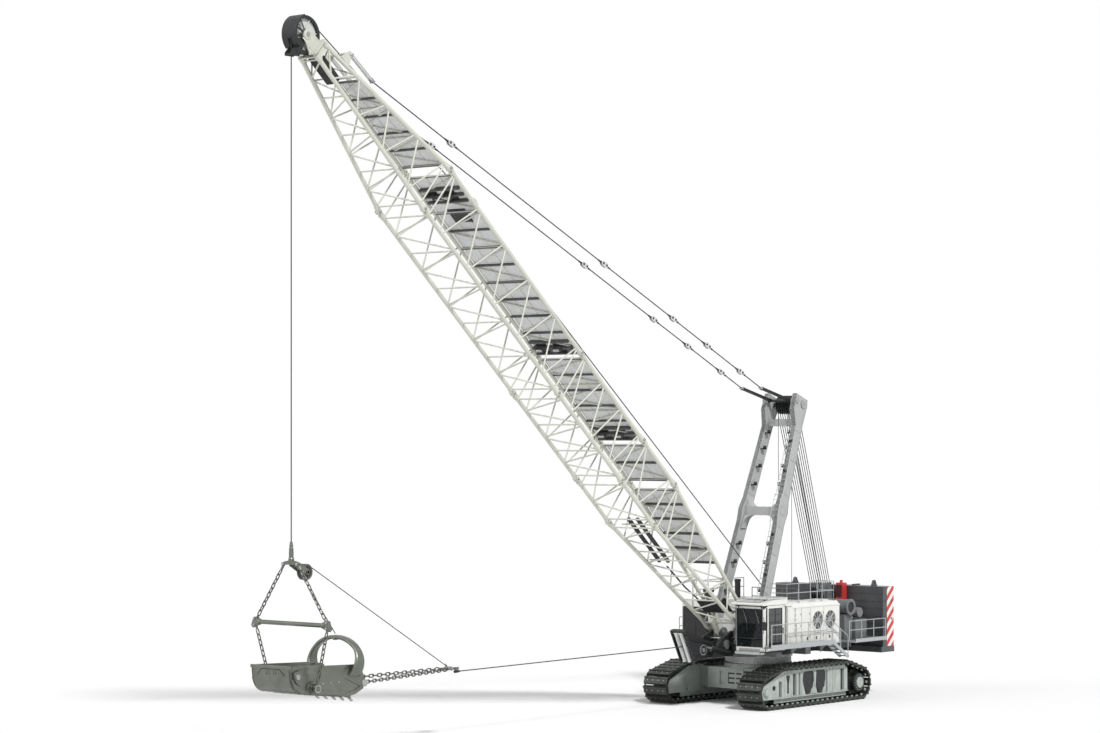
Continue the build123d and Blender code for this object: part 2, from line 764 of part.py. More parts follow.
def chord_place(s):
    """Half depth and half width of the chord lines at a distance from the foot."""
    if s < BUTT_END:
        part = s / BUTT_END
        return (
            FOOT_HALF_DEPTH + (BOOM_HALF_DEPTH - FOOT_HALF_DEPTH) * part,
            FOOT_HALF_WIDTH + (BOOM_HALF_WIDTH - FOOT_HALF_WIDTH) * part,
        )
    if s > HEAD_START:
        part = (s - HEAD_START) / (HEAD_END - HEAD_START)
        return (
            BOOM_HALF_DEPTH + (HEAD_HALF_DEPTH - BOOM_HALF_DEPTH) * part,
            BOOM_HALF_WIDTH + (HEAD_HALF_WIDTH - BOOM_HALF_WIDTH) * part,
        )
    return BOOM_HALF_DEPTH, BOOM_HALF_WIDTH


def chord_point(s, top, left):
    depth, width = chord_place(s)
    return on_boom(s, top * depth, left * width)


def chord(s0, s1, top, left, half, sides):
    """Chord tube whose ends are square to the boom, so that sections meet face to face."""
    start, end = chord_point(s0, top, left), chord_point(s1, top, left)
    reach = half / math.cos(math.pi / sides)
    corners = []
    for k in range(sides):
        angle = (k + 0.5) * 2 * math.pi / sides
        corners.append(tuple(start + BOOM_W * (reach * math.sin(angle)) + Vector(0, reach * math.cos(angle), 0)))
    return prism(corners, tuple(end - start))


class Panel:
    """Flat lattice panel between two chords of one boom section."""

    def __init__(self, s0, s1, first, second, half):
        self.start = [chord_point(s0, *first), chord_point(s0, *second)]
        self.end = [chord_point(s1, *first), chord_point(s1, *second)]
        self.along = [(e - s).normalized() for s, e in zip(self.start, self.end)]
        self.length = [(e - s).length for s, e in zip(self.start, self.end)]
        cross = self.start[1] - self.start[0]
        self.normal = self.along[0].cross(cross).normalized()
        self.inward = [self.normal.cross(self.along[0]), self.along[1].cross(self.normal)]
        self.half = half

    def foot(self, side, part, shift):
        """Point on the inner face of a chord at a share of its length, moved along by shift."""
        distance = self.length[side] * part + shift
        face = self.inward[side]
        inset = self.half * max(abs(face.Y), abs(face.dot(BOOM_W))) + SEAT
        return self.start[side] + self.along[side] * distance + face * inset

    def strut(self, feet, width, thick):
        """Bar between two feet, mitred to both chords. Each foot is (side, part, shift)."""
        ends = [self.foot(*foot) for foot in feet]
        line = (ends[1] - ends[0]).normalized()
        across = self.normal.cross(line)
        corners = []
        for end, foot in zip(ends, feet):
            face = self.inward[foot[0]]
            slide = -across.dot(face) / line.dot(face)
            pair = [end + across * w + line * (w * slide) for w in (width, -width)]
            corners += pair if not corners else pair[::-1]
        lift = self.normal * (thick / 2)
        return prism([tuple(c - lift) for c in corners], tuple(self.normal * thick))


NODE_SHIFT = 105


def zigzag(panel, bays, posts):
    """Two diagonals to a bay, with a post at each bay's ends where posts is true."""
    struts = []
    for k in range(bays):
        a, b, c = k / bays, (k + 0.5) / bays, (k + 1) / bays
        lean_in = NODE_SHIFT
        struts.append(panel.strut([(0, a, lean_in), (1, b, -NODE_SHIFT / 2)], LACE_HALF, LACE_THICK))
        struts.append(panel.strut([(0, c, -lean_in), (1, b, NODE_SHIFT / 2)], LACE_HALF, LACE_THICK))
        if posts and k:
            struts.append(panel.strut([(0, a, 0), (1, a, 0)], LACE_HALF, LACE_THICK))
    return struts


CORNERS = ((1, 1), (1, -1), (-1, -1), (-1, 1))
# Lattice panels by their two chords, with whether posts stand at each bay
PANELS = (
    ((1, 1), (-1, 1), False),
    ((1, -1), (-1, -1), False),
    ((-1, 1), (-1, -1), True),
    ((1, 1), (1, -1), True),
)


def boom_section(s0, s1, bays):
    shapes = []
    first, last = s0 + FORK_LENGTH, s1 - FORK_LENGTH
    for top, left in CORNERS:
        shapes.append(chord(first + SEAT, last - SEAT, top, left, CHORD_HALF, 8))
        shapes.append(chord(s0 + SEAT, first, top, left, FORK_HALF, 4))
        shapes.append(chord(last, s1 - SEAT, top, left, FORK_HALF, 4))
    for one, other, posts in PANELS:
        panel = Panel(first, last, one, other, CHORD_HALF)
        shapes += zigzag(panel, bays, posts)
        ends = Panel(s0, s1, one, other, CHORD_HALF)
        span = ends.length[0]
        for shift in (FORK_LENGTH + NODE_SHIFT * 0.4, span - FORK_LENGTH - NODE_SHIFT * 0.4):
            shapes.append(ends.strut([(0, 0, shift), (1, 0, shift)], LACE_HALF, LACE_THICK))
    return shapes


def boom_feet():
    """Plated feet between the foot pin and the chords."""
    shapes = []
    start = BOOM_SECTIONS[0][1]
    depth, width = chord_place(start)
    reach = depth + FORK_HALF
    for side in (1, -1):
        outline = [(start - SEAT, -reach), (start - SEAT, reach)]
        for k in range(7):
            angle = math.radians(90 + k * 30)
            outline.append((240 * math.cos(angle), 240 * math.sin(angle)))
        y = side * FOOT_HALF_WIDTH
        low = [tuple(on_boom(s, w, y - 110)) for s, w in outline]
        foot = prism(low, (0, 220, 0))
        foot -= cylinder((FOOT_X, y - 200, FOOT_Z), (FOOT_X, y + 200, FOOT_Z), FOOT_PIN_RADIUS)
        shapes.append(foot)
    return shapes


def boom_walkway():
    """Grating panels on the top panel's posts."""
    shapes = []
    rise = LACE_THICK / 2 + SEAT
    for name, s0, s1, bays in BOOM_SECTIONS:
        if name == "boom_butt":
            s0 += 3000
        if name == "boom_head":
            s1 -= 900
        d0, w0 = chord_place(s0 + FORK_LENGTH)
        d1, w1 = chord_place(s1 - FORK_LENGTH)
        edge = CHORD_HALF + 60
        corners = [
            on_boom(s0 + FORK_LENGTH, d0 + rise, w0 - edge), on_boom(s1 - FORK_LENGTH, d1 + rise, w1 - edge),
            on_boom(s1 - FORK_LENGTH, d1 + rise, -w1 + edge), on_boom(s0 + FORK_LENGTH, d0 + rise, -w0 + edge),
        ]
        shapes.append(prism([tuple(c) for c in corners], tuple(BOOM_W * 40)))
    return shapes


def sheave_centre():
    return on_boom(SHEAVE_S, SHEAVE_W, 0)


def head_plates():
    """Cheek plates on the chord ends that carry the head sheave's axle."""
    shapes = []
    s0 = HEAD_END + SEAT
    inner = SHEAVE_HALF + 30
    outline = [
        (s0, -380), (SHEAVE_S + 120, SHEAVE_W - 190), (SHEAVE_S + 190, SHEAVE_W),
        (SHEAVE_S + 120, SHEAVE_W + 190), (s0, 380),
    ]
    flange = [(s0, -380), (s0 + 60, -380), (s0 + 60, 380), (s0, 380)]
    centre = sheave_centre()
    for side in (1, -1):
        low, high = sorted((side * inner, side * (inner + CHEEK)))
        plate = prism([tuple(on_boom(s, w, low)) for s, w in outline], (0, high - low, 0))
        low, high = sorted((side * inner, side * (HEAD_HALF_WIDTH + FORK_HALF)))
        plate += prism([tuple(on_boom(s, w, low)) for s, w in flange], (0, high - low, 0))
        shapes.append(plate - cylinder((centre.X, -900, centre.Z), (centre.X, 900, centre.Z), SHEAVE_PIN))
    return shapes


def head_axle():
    centre = sheave_centre()
    reach = SHEAVE_HALF + 30 + CHEEK + 60
    return cylinder((centre.X, -reach, centre.Z), (centre.X, reach, centre.Z), SHEAVE_PIN - PLAY)


def grooved_wheel(centre, half, rim, groove, bore, flat_bottom=False):
    """Sheave turned from a section with a rope groove, on the Y axis."""
    floor = half * 0.3 if flat_bottom else 0
    section = [(bore, -half), (rim, -half), (groove, -floor)]
    if floor:
        section.append((groove, floor))
    section += [(rim, half), (bore, half)]
    face = polygon([(centre.X + r, y, centre.Z) for r, y in section])
    return Solid.revolve(face, 360, Axis((centre.X, 0, centre.Z), (0, 1, 0)))


def head_sheave():
    return grooved_wheel(sheave_centre(), SHEAVE_HALF, SHEAVE_RADIUS, SHEAVE_GROOVE, SHEAVE_PIN, flat_bottom=True)


def hoist_x():
    """The hoist rope drops from the front of the head sheave's groove."""
    return sheave_centre().X + SHEAVE_GROOVE + ROPE_RADIUS + SEAT


def rope_guard():
    """Two straps that hang from the sheave's axle, with a cross bar on each side of the rope."""
    centre = sheave_centre()
    z = centre.Z - GUARD_DROP
    low_x, high_x = hoist_x() - 215, hoist_x() + 145
    outer = SHEAVE_HALF + 6 + GUARD_STRAP
    guard = None
    for side in (1, -1):
        near, far = sorted((side * (outer - GUARD_STRAP), side * outer))
        outline = [
            (low_x - 50, z - 50), (high_x + 50, z - 50), (high_x + 50, z + 60),
            (centre.X + 140, centre.Z + 60), (centre.X - 140, centre.Z + 60),
        ]
        strap = side_plate(outline, near, far)
        guard = strap if guard is None else guard + strap
    for x in (low_x, high_x):
        guard += cylinder((x, -outer + 2, z), (x, outer - 2, z), 32)
    return guard - cylinder((centre.X, -300, centre.Z), (centre.X, 300, centre.Z), SHEAVE_PIN)


# Mast and pendants


def mast_y(z):
    part = (z - FOOT_Z) / (MAST_HEAD_Z - FOOT_Z)
    return MAST_FOOT_Y + (MAST_HEAD_Y - MAST_FOOT_Y) * part


def mast_point(part, across):
    """Point (x, z) beside the mast leg's axis, at a share of its length."""
    dx, dz = MAST_HEAD_X - FOOT_X, MAST_HEAD_Z - FOOT_Z
    length = math.hypot(dx, dz)
    return (
        FOOT_X + dx * part + dz / length * across,
        FOOT_Z + dz * part - dx / length * across,
    )


# Edges of a mast leg: share of the length, distance from its axis
MAST_FRONT = ((0.0, 190), (0.1, 240), (0.36, 290), (0.41, 400), (0.46, 290), (0.9, 250), (0.96, 600), (1.03, 600))
MAST_BACK = ((0.0, 190), (0.1, 240), (0.36, 290), (0.41, 400), (0.46, 290), (0.92, 250), (1.0, 330), (1.03, 250))


def mast_legs():
    """Box legs with a bulge at the cross box and a nose for the pendants at the head."""
    legs = []
    front = [mast_point(part, half) for part, half in MAST_FRONT]
    back = [mast_point(part, -half) for part, half in reversed(MAST_BACK)]
    for side in (1, -1):
        corners = [(x, side * mast_y(z) - MAST_LEG_HALF, z) for x, z in front + back]
        leg = prism(corners, (0, 2 * MAST_LEG_HALF, 0))
        leg -= cylinder((FOOT_X, side * 1000, FOOT_Z), (FOOT_X, side * 1500, FOOT_Z), FOOT_PIN_RADIUS)
        legs.append(leg)
    return legs


def mast_inner(z):
    """Half the clear width between the mast legs at a height."""
    return mast_y(z) - MAST_LEG_HALF - SEAT


def mast_cross():
    """Cross boxes between the legs, their ends cut to the legs' lean."""
    shapes = []
    for part, half in ((0.40, 170), (0.92, 160)):
        x, z = mast_point(part, 0)
        low, high = mast_inner(z - half), mast_inner(z + half)
        section = [(-low, z - half), (low, z - half), (high, z + half), (-high, z + half)]
        shapes.append(prism([(x - half, y, z) for y, z in section], (2 * half, 0, 0)))
    return shapes


def between_legs(x, z, radius):
    """Pin across the mast head, trimmed to the legs' lean."""
    low = mast_inner(z + radius)
    return cylinder((x, -low, z), (x, low, z), radius)


def nose_pin():
    return mast_point(1.0, MAST_NOSE)


def mast_sheaves():
    """Sheave pack on its pin, with the pendants' pin ahead of it."""
    x, z = mast_point(1.0, 0)
    shapes = [between_legs(x, z, MAST_SHEAVE_PIN - SEAT), between_legs(*nose_pin(), MAST_NOSE_PIN)]
    for k in range(MAST_SHEAVE_COUNT):
        y = (k - (MAST_SHEAVE_COUNT - 1) / 2) * 120
        wheel = grooved_wheel(Vector(x, 0, z), 45, MAST_SHEAVE_RADIUS, 350, MAST_SHEAVE_PIN)
        shapes.append(wheel.translate((0, y, 0)))
    return shapes


# Pendant joints by their place (x, z) between the mast head and the boom head
PENDANT_START = (540, 13980)
PENDANT_END = (25450, 25240)


def pendant_pin():
    """Pin of the pendants on the boom head."""
    depth, width = chord_place(PENDANT_LUG_S)
    point = on_boom(PENDANT_LUG_S, depth + CHORD_HALF + PENDANT_LUG_RISE, 0)
    return point.X, point.Z


def trimmed(start, end, cut_start, cut_end):
    """A line between (x, z) points, shortened at both ends."""
    dx, dz = end[0] - start[0], end[1] - start[1]
    span = math.hypot(dx, dz)
    ux, uz = dx / span, dz / span
    return (
        (start[0] + ux * cut_start, start[1] + uz * cut_start),
        (end[0] - ux * cut_end, end[1] - uz * cut_end),
    )


LINK_PLATE = 40
LINK_GAP = 28


def flat_link(start, end, half, y0, y1):
    """Flat bar between two (x, z) points."""
    dx, dz = end[0] - start[0], end[1] - start[1]
    span = math.hypot(dx, dz)
    nx, nz = -dz / span * half, dx / span * half
    outline = [
        (start[0] + nx, start[1] + nz), (end[0] + nx, end[1] + nz),
        (end[0] - nx, end[1] - nz), (start[0] - nx, start[1] - nz),
    ]
    return side_plate(outline, y0, y1)


def pendants():
    """Twin link plates, stay ropes and end links from the mast's nose to the boom head."""
    eye = 60
    plates = (
        (nose_pin(), PENDANT_START, MAST_NOSE_PIN + SEAT, eye + SEAT),
        (PENDANT_END, pendant_pin(), eye + SEAT, MAST_NOSE_PIN + SEAT),
    )
    shapes = []
    for y in (PENDANT_Y, -PENDANT_Y):
        for start, end, cut_start, cut_end in plates:
            first, last = trimmed(start, end, cut_start, cut_end)
            for low in (LINK_GAP + SEAT, -LINK_GAP - SEAT - LINK_PLATE):
                shapes.append(flat_link(first, last, PENDANT_PLATE, y + low, y + low + LINK_PLATE))
        (ax, az), (bx, bz) = trimmed(PENDANT_START, PENDANT_END, eye + SEAT, eye + SEAT)
        shapes.append(bar((ax, y, az), (bx, y, bz), PENDANT_RADIUS, 6, up=(0, 1, 0)))
        for x, z in (PENDANT_START, PENDANT_END):
            shapes.append(cylinder((x, y - 70, z), (x, y + 70, z), eye))
    return shapes


def pendant_lugs():
    """Uprights on the head's top chords with the pin that the pendants end on."""
    x, z = pendant_pin()
    depth, width = chord_place(PENDANT_LUG_S)
    slope = (HEAD_HALF_DEPTH - BOOM_HALF_DEPTH) / (HEAD_END - HEAD_START)
    base = depth + CHORD_HALF + SEAT
    s0 = PENDANT_LUG_S
    outline = [
        (s0 - 260, base - 260 * slope), (s0 + 260, base + 260 * slope),
        (s0 + 80, base + PENDANT_LUG_RISE + 60), (s0 - 80, base + PENDANT_LUG_RISE + 60),
    ]
    reach = PENDANT_Y + PENDANT_PLATE + 20
    lugs = cylinder((x, -reach, z), (x, reach, z), MAST_NOSE_PIN)
    for side in (1, -1):
        low = side * PENDANT_Y - LINK_GAP
        lugs += prism([tuple(on_boom(s, w, low)) for s, w in outline], (0, 2 * LINK_GAP, 0))
    return lugs


# Hoist tackle


def chain(start, end, up):
    """Row of six-sided ring links from face to face, every other one turned a quarter."""
    start, end = Vector(*start), Vector(*end)
    axis = (end - start).normalized()
    side = axis.cross(Vector(*up)).normalized()
    other = axis.cross(side)
    length = (end - start).length
    overlap = CHAIN_BAR * 0.98
    count = max(1, round((length - 2 * overlap) / CHAIN_PITCH))
    step = (length - 2 * overlap) / count
    wide = CHAIN_BAR * 1.9
    half_long = step / 2 + overlap
    links = []
    for k in range(count):
        flat, normal = (side, other) if k % 2 else (other, side)
        middle = start + axis * (overlap + step * (k + 0.5)) - normal * (CHAIN_BAR / 2)

        def outline(reach, width, shoulder):
            corners = (
                (reach, 0), (shoulder, width), (-shoulder, width), (-reach, 0), (-shoulder, -width), (shoulder, -width),
            )
            return polygon([tuple(middle + axis * a + flat * b) for a, b in corners]).outer_wire()

        outer = outline(half_long, wide, half_long * 0.62)
        inner = outline(half_long - CHAIN_BAR * 1.1, wide - CHAIN_BAR, half_long * 0.5)
        links.append(Solid.extrude(Face(outer, [inner]), normal * CHAIN_BAR))
    return links


def along(start, end, distance):
    start, end = Vector(*start), Vector(*end)
    return tuple(start + (end - start).normalized() * distance)


LUG_REACH = 260
LUG_HALF = 45


def hoist_rope():
    x, z = hoist_x(), sheave_centre().Z
    guard = z - GUARD_DROP
    return cylinder((x, 0, EQUALIZER_Z + 820 + SEAT), (x, 0, z), ROPE_RADIUS)


def equalizer_end():
    return (hoist_x(), EQUALIZER_HALF, EQUALIZER_Z)


def spreader_end():
    return (hoist_x(), SPREADER_HALF, SPREADER_Z)


def trunnion_end():
    return (TRUNNION_X, BUCKET_HALF + 200, TRUNNION_Z)


def hoist_tackle():
    """Rope socket, swivel and equalizer plate with a lug for each hoist chain."""
    x, z = hoist_x(), EQUALIZER_Z
    tackle = cylinder((x, 0, z + 420), (x, 0, z + 820), 85)
    tackle += block(x - 120, x + 120, -120, 120, z + 110, z + 430)
    tackle += block(x - 60, x + 60, -EQUALIZER_HALF - 100, EQUALIZER_HALF + 100, z - 90, z + 120)
    lug = bar(equalizer_end(), along(equalizer_end(), spreader_end(), LUG_REACH), LUG_HALF, 4, up=(1, 0, 0))
    return tackle + lug + mirrored(lug)


def spreader_bar():
    """Tube with an end plate and two chain lugs on each side."""
    x = hoist_x()
    tube = cylinder((x, -SPREADER_HALF + 100, SPREADER_Z), (x, SPREADER_HALF - 100, SPREADER_Z), 90)
    end = block(x - 80, x + 80, SPREADER_HALF - 140, SPREADER_HALF + 110, SPREADER_Z - 130, SPREADER_Z + 130)
    end += bar(spreader_end(), along(spreader_end(), equalizer_end(), LUG_REACH), LUG_HALF, 4, up=(1, 0, 0))
    end += bar(spreader_end(), along(spreader_end(), trunnion_end(), LUG_REACH), LUG_HALF, 4, up=(1, 0, 0))
    return tube + end + mirrored(end)


def hoist_chains():
    top = along(equalizer_end(), spreader_end(), LUG_REACH + SEAT)
    bottom = along(spreader_end(), equalizer_end(), LUG_REACH + SEAT)
    return both_sides(chain(top, bottom, (1, 0, 0)))


def shackle(pin_centre, toward, pin_radius):
    """Ring round a Y-axis pin with a stem towards a chain."""
    x, y, z = pin_centre
    ends = (x, y - SHACKLE_HALF, z), (x, y + SHACKLE_HALF, z)
    body = cylinder(*ends, pin_radius + 55)
    body += bar(pin_centre, along(pin_centre, toward, LUG_REACH), LUG_HALF - 5, 4, up=(0, 1, 0))
    return body - cylinder((x, y - 200, z), (x, y + 200, z), pin_radius + PLAY)


def lift_chains():
    top = along(spreader_end(), trunnion_end(), LUG_REACH + SEAT)
    bottom = along(trunnion_end(), spreader_end(), LUG_REACH + SEAT)
    ring_end = shackle(trunnion_end(), spreader_end(), TRUNNION_RADIUS)
    return both_sides(chain(top, bottom, (1, 0, 0)) + [ring_end])


def dump_block():
    """Twin dump sheaves on a hanger in front of the equalizer."""
    centre = Vector(hoist_x() - 700, 0, EQUALIZER_Z - 320)
    pin = 50
    shapes = [grooved_wheel(centre, 45, 300, 240, pin).translate((0, y, 0)) for y in (-70, 70)]
    hanger = cylinder((centre.X, -200, centre.Z), (centre.X, 200, centre.Z), pin - SEAT)
    face = hoist_x() - 60 - SEAT
    outline = [
        (centre.X - 80, centre.Z - 60), (centre.X + 80, centre.Z - 80), (face, EQUALIZER_Z - 60),
        (face, EQUALIZER_Z + 90), (centre.X - 40, centre.Z + 90),
    ]
    for y in (-180, 130):
        hanger += side_plate(outline, y, y + 50)
    return shapes + [hanger]


# Bucket

HEEL = (29620, 3060)
HEEL_RADIUS = 640
LIP_X = 27300
RIM_Z = 3460
ARCH_X = 26580
ARCH_DEPTH = 400
ARCH_FOOT_Z = 3250


def bucket_profile(inset):
    """Floor and heel line from the lip to the rear rim (x, z), moved inwards by inset."""
    reach = HEEL_RADIUS - inset
    heel = []
    for angle in (-100, -75, -50, -25, 0):
        heel.append((HEEL[0] + reach * math.cos(math.radians(angle)), HEEL[1] + reach * math.sin(math.radians(angle))))
    floor = [(LIP_X, 2180 + inset), (28000, 2280 + inset), (29300, 2400 + inset)]
    return floor + heel + [(HEEL[0] + HEEL_RADIUS + 40 - inset, RIM_Z)]


def bucket_shell():
    """Floor and rear wall bent from one plate, with two side walls, hitch cheeks and trunnions."""
    outer = bucket_profile(0)
    skin = side_plate(outer + bucket_profile(BUCKET_WALL)[::-1], -BUCKET_HALF, BUCKET_HALF)
    cheek = [
        (ARCH_X + ARCH_DEPTH + 80, ARCH_FOOT_Z), (ARCH_X - 20, ARCH_FOOT_Z), (HITCH_X + 100, 2950),
        (HITCH_X - 100, 2720), (HITCH_X - 100, 2540), (HITCH_X + 120, 2480), (26850, 2250),
    ]
    wall = outer + cheek
    for side in (1, -1):
        low, high = sorted((side * BUCKET_HALF, side * (BUCKET_HALF - BUCKET_WALL)))
        skin += side_plate(wall, low, high)
        hitch_pin = cylinder((HITCH_X, side * BUCKET_HALF, HITCH_Z), (HITCH_X, side * (BUCKET_HALF - 220), HITCH_Z), HITCH_RADIUS)
        skin += hitch_pin
        boss = cylinder((TRUNNION_X, side * (BUCKET_HALF - 10), TRUNNION_Z), (TRUNNION_X, side * (BUCKET_HALF + 110), TRUNNION_Z), 170)
        pin = cylinder((TRUNNION_X, side * BUCKET_HALF, TRUNNION_Z), (TRUNNION_X, side * (BUCKET_HALF + 300), TRUNNION_Z), TRUNNION_RADIUS)
        skin += boss + pin
    return skin


def bucket_arch():
    """Arch over the mouth, a thick curved band standing on the side walls."""
    outer, inner = 1060, 900
    z0 = ARCH_FOOT_Z + SEAT
    steps = 12
    line = [(outer * math.cos(math.pi * k / steps), z0 + 1090 * math.sin(math.pi * k / steps)) for k in range(steps + 1)]
    line += [
        (-inner * math.cos(math.pi * k / steps), z0 + 930 * math.sin(math.pi * k / steps)) for k in range(steps + 1)
    ]
    return prism([(ARCH_X, y, z) for y, z in line], (ARCH_DEPTH, 0, 0))


def bucket_teeth():
    teeth = []
    for k in range(5):
        y = (k - 2) * (BUCKET_HALF - 130) / 2
        outline = [(LIP_X - SEAT, 2180), (LIP_X - SEAT, 2280), (LIP_X - 370, 1960)]
        teeth.append(side_plate(outline, y - 70, y + 70))
    return teeth


YOKE_HALF_Z = 60
YOKE_BACK = 250
SOCKET_RADIUS = 60
SOCKET_DROP = 22
YOKE_FRONT = YOKE_X + 200


def yoke_end():
    return (YOKE_FRONT - 60, 170, YOKE_Z)


def hitch_end():
    return (HITCH_X, BUCKET_HALF - 150, HITCH_Z)


def drag_chains():
    start = along(yoke_end(), hitch_end(), LUG_REACH + SEAT)
    stop = along(hitch_end(), yoke_end(), LUG_REACH + SEAT)
    return both_sides(chain(start, stop, (0, 0, 1)) + [shackle(hitch_end(), yoke_end(), HITCH_RADIUS)])


def drag_yoke():
    """Yoke that gathers the drag chains and the dump rope."""
    x = YOKE_X
    yoke = block(x - YOKE_BACK, YOKE_FRONT, -230, 230, YOKE_Z - YOKE_HALF_Z, YOKE_Z + YOKE_HALF_Z)
    lug = bar(yoke_end(), along(yoke_end(), hitch_end(), LUG_REACH), LUG_HALF, 4, up=(0, 0, 1))
    return yoke + lug + mirrored(lug)


def drag_rope():
    """Rope from the fairlead to just below the yoke's near edge, with its end socket."""
    end = (YOKE_X - YOKE_BACK - SEAT, 0, YOKE_Z - YOKE_HALF_Z - SOCKET_RADIUS - SOCKET_DROP)
    start = (FAIRLEAD_X, 0, FAIRLEAD_Z)
    behind = along(start, end, -300)
    rope = cylinder(behind, along(end, start, 200), ROPE_RADIUS)
    return rope + cylinder(along(end, start, 320), end, SOCKET_RADIUS)


def main():
    os.makedirs("parts", exist_ok=True)
    for name, side in (("l", 1), ("r", -1)):
        flip = (lambda shape: shape) if side > 0 else mirrored
        save(f"track_{name}", flip(track()))
        save(f"track_frame_{name}", flip(track_frame()))
    save("track_rollers", both_sides(track_rollers()))
    save("idlers", both_sides([idler()]))
    save("sprockets", both_sides([sprocket()]))
    save("carbody", carbody())
    save("swing_bearing", swing_bearing())

    save("revolving_frame", revolving_frame())
    save("foot_brackets", foot_brackets())
    save("foot_pins", foot_pins())
    save("house_left", house_left())
    save("house_right", house_right())
    save("rear_house", rear_house())
    save("engine", engine())
    for name, *sizes in WINCHES:
        save(name, winch(*sizes))
    save("counterweight", counterweight())
    save("cab_shell", cab_shell())
    save("cab_glass", cab_glass())
    save("cab_roof", cab_roof())
    save("cab_seat", cab_seat())
    save("cab_door", cab_door())
    save("walkways", walkways())
    save("handrails", handrails())
    save("rear_platform", rear_platform())
    save("access_ladder", access_ladder())
    save("fairlead_frame", fairlead_frame())
    save("fairlead_rollers", fairlead_rollers())
    save("luffing_block", luffing_block())

    save("boom_feet", boom_feet())
    for name, s0, s1, bays in BOOM_SECTIONS:
        save(name, boom_section(s0, s1, bays))
    save("boom_walkway", boom_walkway())
    save("head_plates", head_plates())
    save("head_axle", head_axle())
    save("head_sheave", head_sheave())
    save("rope_guard", rope_guard())
    save("pendant_lugs", pendant_lugs())

    save("mast_legs", mast_legs())
    save("mast_cross", mast_cross())
    save("mast_sheaves", mast_sheaves())
    save("pendants", pendants())

    save("hoist_rope", hoist_rope())
    save("hoist_tackle", hoist_tackle())
    save("hoist_chains", hoist_chains())
    save("spreader_bar", spreader_bar())
    save("lift_chains", lift_chains())
    save("dump_block", dump_block())
    save("bucket_shell", bucket_shell())
    save("bucket_arch", bucket_arch())
    save("bucket_teeth", bucket_teeth())
    save("drag_chains", drag_chains())
    save("drag_yoke", drag_yoke())
    save("drag_rope", drag_rope())


main()
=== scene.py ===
import bpy
import json
from math import acos, atan2, copysign, cos, dist, hypot, pi, radians, sin
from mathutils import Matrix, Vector


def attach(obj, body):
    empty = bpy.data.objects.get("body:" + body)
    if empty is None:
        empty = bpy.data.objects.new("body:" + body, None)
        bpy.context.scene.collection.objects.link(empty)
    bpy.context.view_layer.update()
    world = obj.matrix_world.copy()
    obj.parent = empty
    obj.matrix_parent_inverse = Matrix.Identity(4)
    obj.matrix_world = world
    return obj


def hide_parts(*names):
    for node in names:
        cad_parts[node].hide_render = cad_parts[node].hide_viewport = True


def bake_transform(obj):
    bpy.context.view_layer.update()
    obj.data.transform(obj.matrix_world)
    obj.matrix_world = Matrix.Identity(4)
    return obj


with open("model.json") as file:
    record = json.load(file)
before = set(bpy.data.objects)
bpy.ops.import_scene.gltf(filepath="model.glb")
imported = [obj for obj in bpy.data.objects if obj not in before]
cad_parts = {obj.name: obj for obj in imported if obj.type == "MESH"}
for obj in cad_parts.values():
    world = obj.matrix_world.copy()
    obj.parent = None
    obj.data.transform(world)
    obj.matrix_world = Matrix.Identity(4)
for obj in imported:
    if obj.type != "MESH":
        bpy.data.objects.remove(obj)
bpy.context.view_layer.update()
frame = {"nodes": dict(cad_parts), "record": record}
ACROSS, UP = (0, 1, 0), (0, 0, 1)

# Materials


def put(node, **values):
    """Sets a node's inputs, with _ for the blanks in their names."""
    for name, value in values.items():
        node.inputs[name.replace("_", " ")].default_value = value


def new_node(tree, kind, operation=None, **values):
    """Shader node of a kind, with its inputs set."""
    node = tree.nodes.new("ShaderNode" + kind)
    if operation:
        node.operation = operation
    put(node, **values)
    return node


def new_material(name):
    """Material with its node tree and its surface."""
    material = bpy.data.materials.new(name)
    material.use_nodes = True
    return material, material.node_tree, material.node_tree.nodes["Principled BSDF"]


def shader(
    name, colour, rough=0.5, metal=0.0, coat=0.0, wear=0.0, scale=3.0, bump=0.0, bump_scale=60.0
):
    """Plain surface with a soft mottling of colour and roughness, laid out in object space."""
    material, tree, surface = new_material(name)
    link = tree.links.new
    put(surface, Base_Color=(*colour, 1), Roughness=rough, Metallic=metal)
    put(surface, Coat_Weight=coat, Coat_Roughness=0.25)
    place = new_node(tree, "TexCoord")
    if wear:
        noise = new_node(tree, "TexNoise", Scale=scale, Detail=6, Roughness=0.65)
        link(place.outputs["Object"], noise.inputs["Vector"])
        ramp = new_node(tree, "ValToRGB")
        worn = tuple(c * (1 - wear) for c in colour)
        for element, position, shade in zip(ramp.color_ramp.elements, (0.35, 0.72), (worn, colour)):
            element.position = position
            element.color = (*shade, 1)
        link(noise.outputs["Fac"], ramp.inputs["Fac"])
        link(ramp.outputs["Color"], surface.inputs["Base Color"])
        gloss = new_node(tree, "MapRange", From_Min=0.3, From_Max=0.7)
        put(gloss, To_Min=min(1.0, rough + 0.15), To_Max=max(0.05, rough - 0.05))
        link(noise.outputs["Fac"], gloss.inputs["Value"])
        link(gloss.outputs["Result"], surface.inputs["Roughness"])
    if bump:
        grain = new_node(tree, "TexNoise", Scale=bump_scale, Detail=4)
        link(place.outputs["Object"], grain.inputs["Vector"])
        relief = new_node(tree, "Bump", Strength=bump, Distance=0.004)
        link(grain.outputs["Fac"], relief.inputs["Height"])
        link(relief.outputs["Normal"], surface.inputs["Normal"])
    return material


def glass(name, colour):
    """Dark see-through pane: the dark tint is partly the glass's own tint and partly painted shade of the
    cab behind it.
    """
    material, _, surface = new_material(name)
    put(surface, Base_Color=(*colour, 1), Roughness=0.03, Transmission_Weight=0.85, IOR=1.3)
    return material


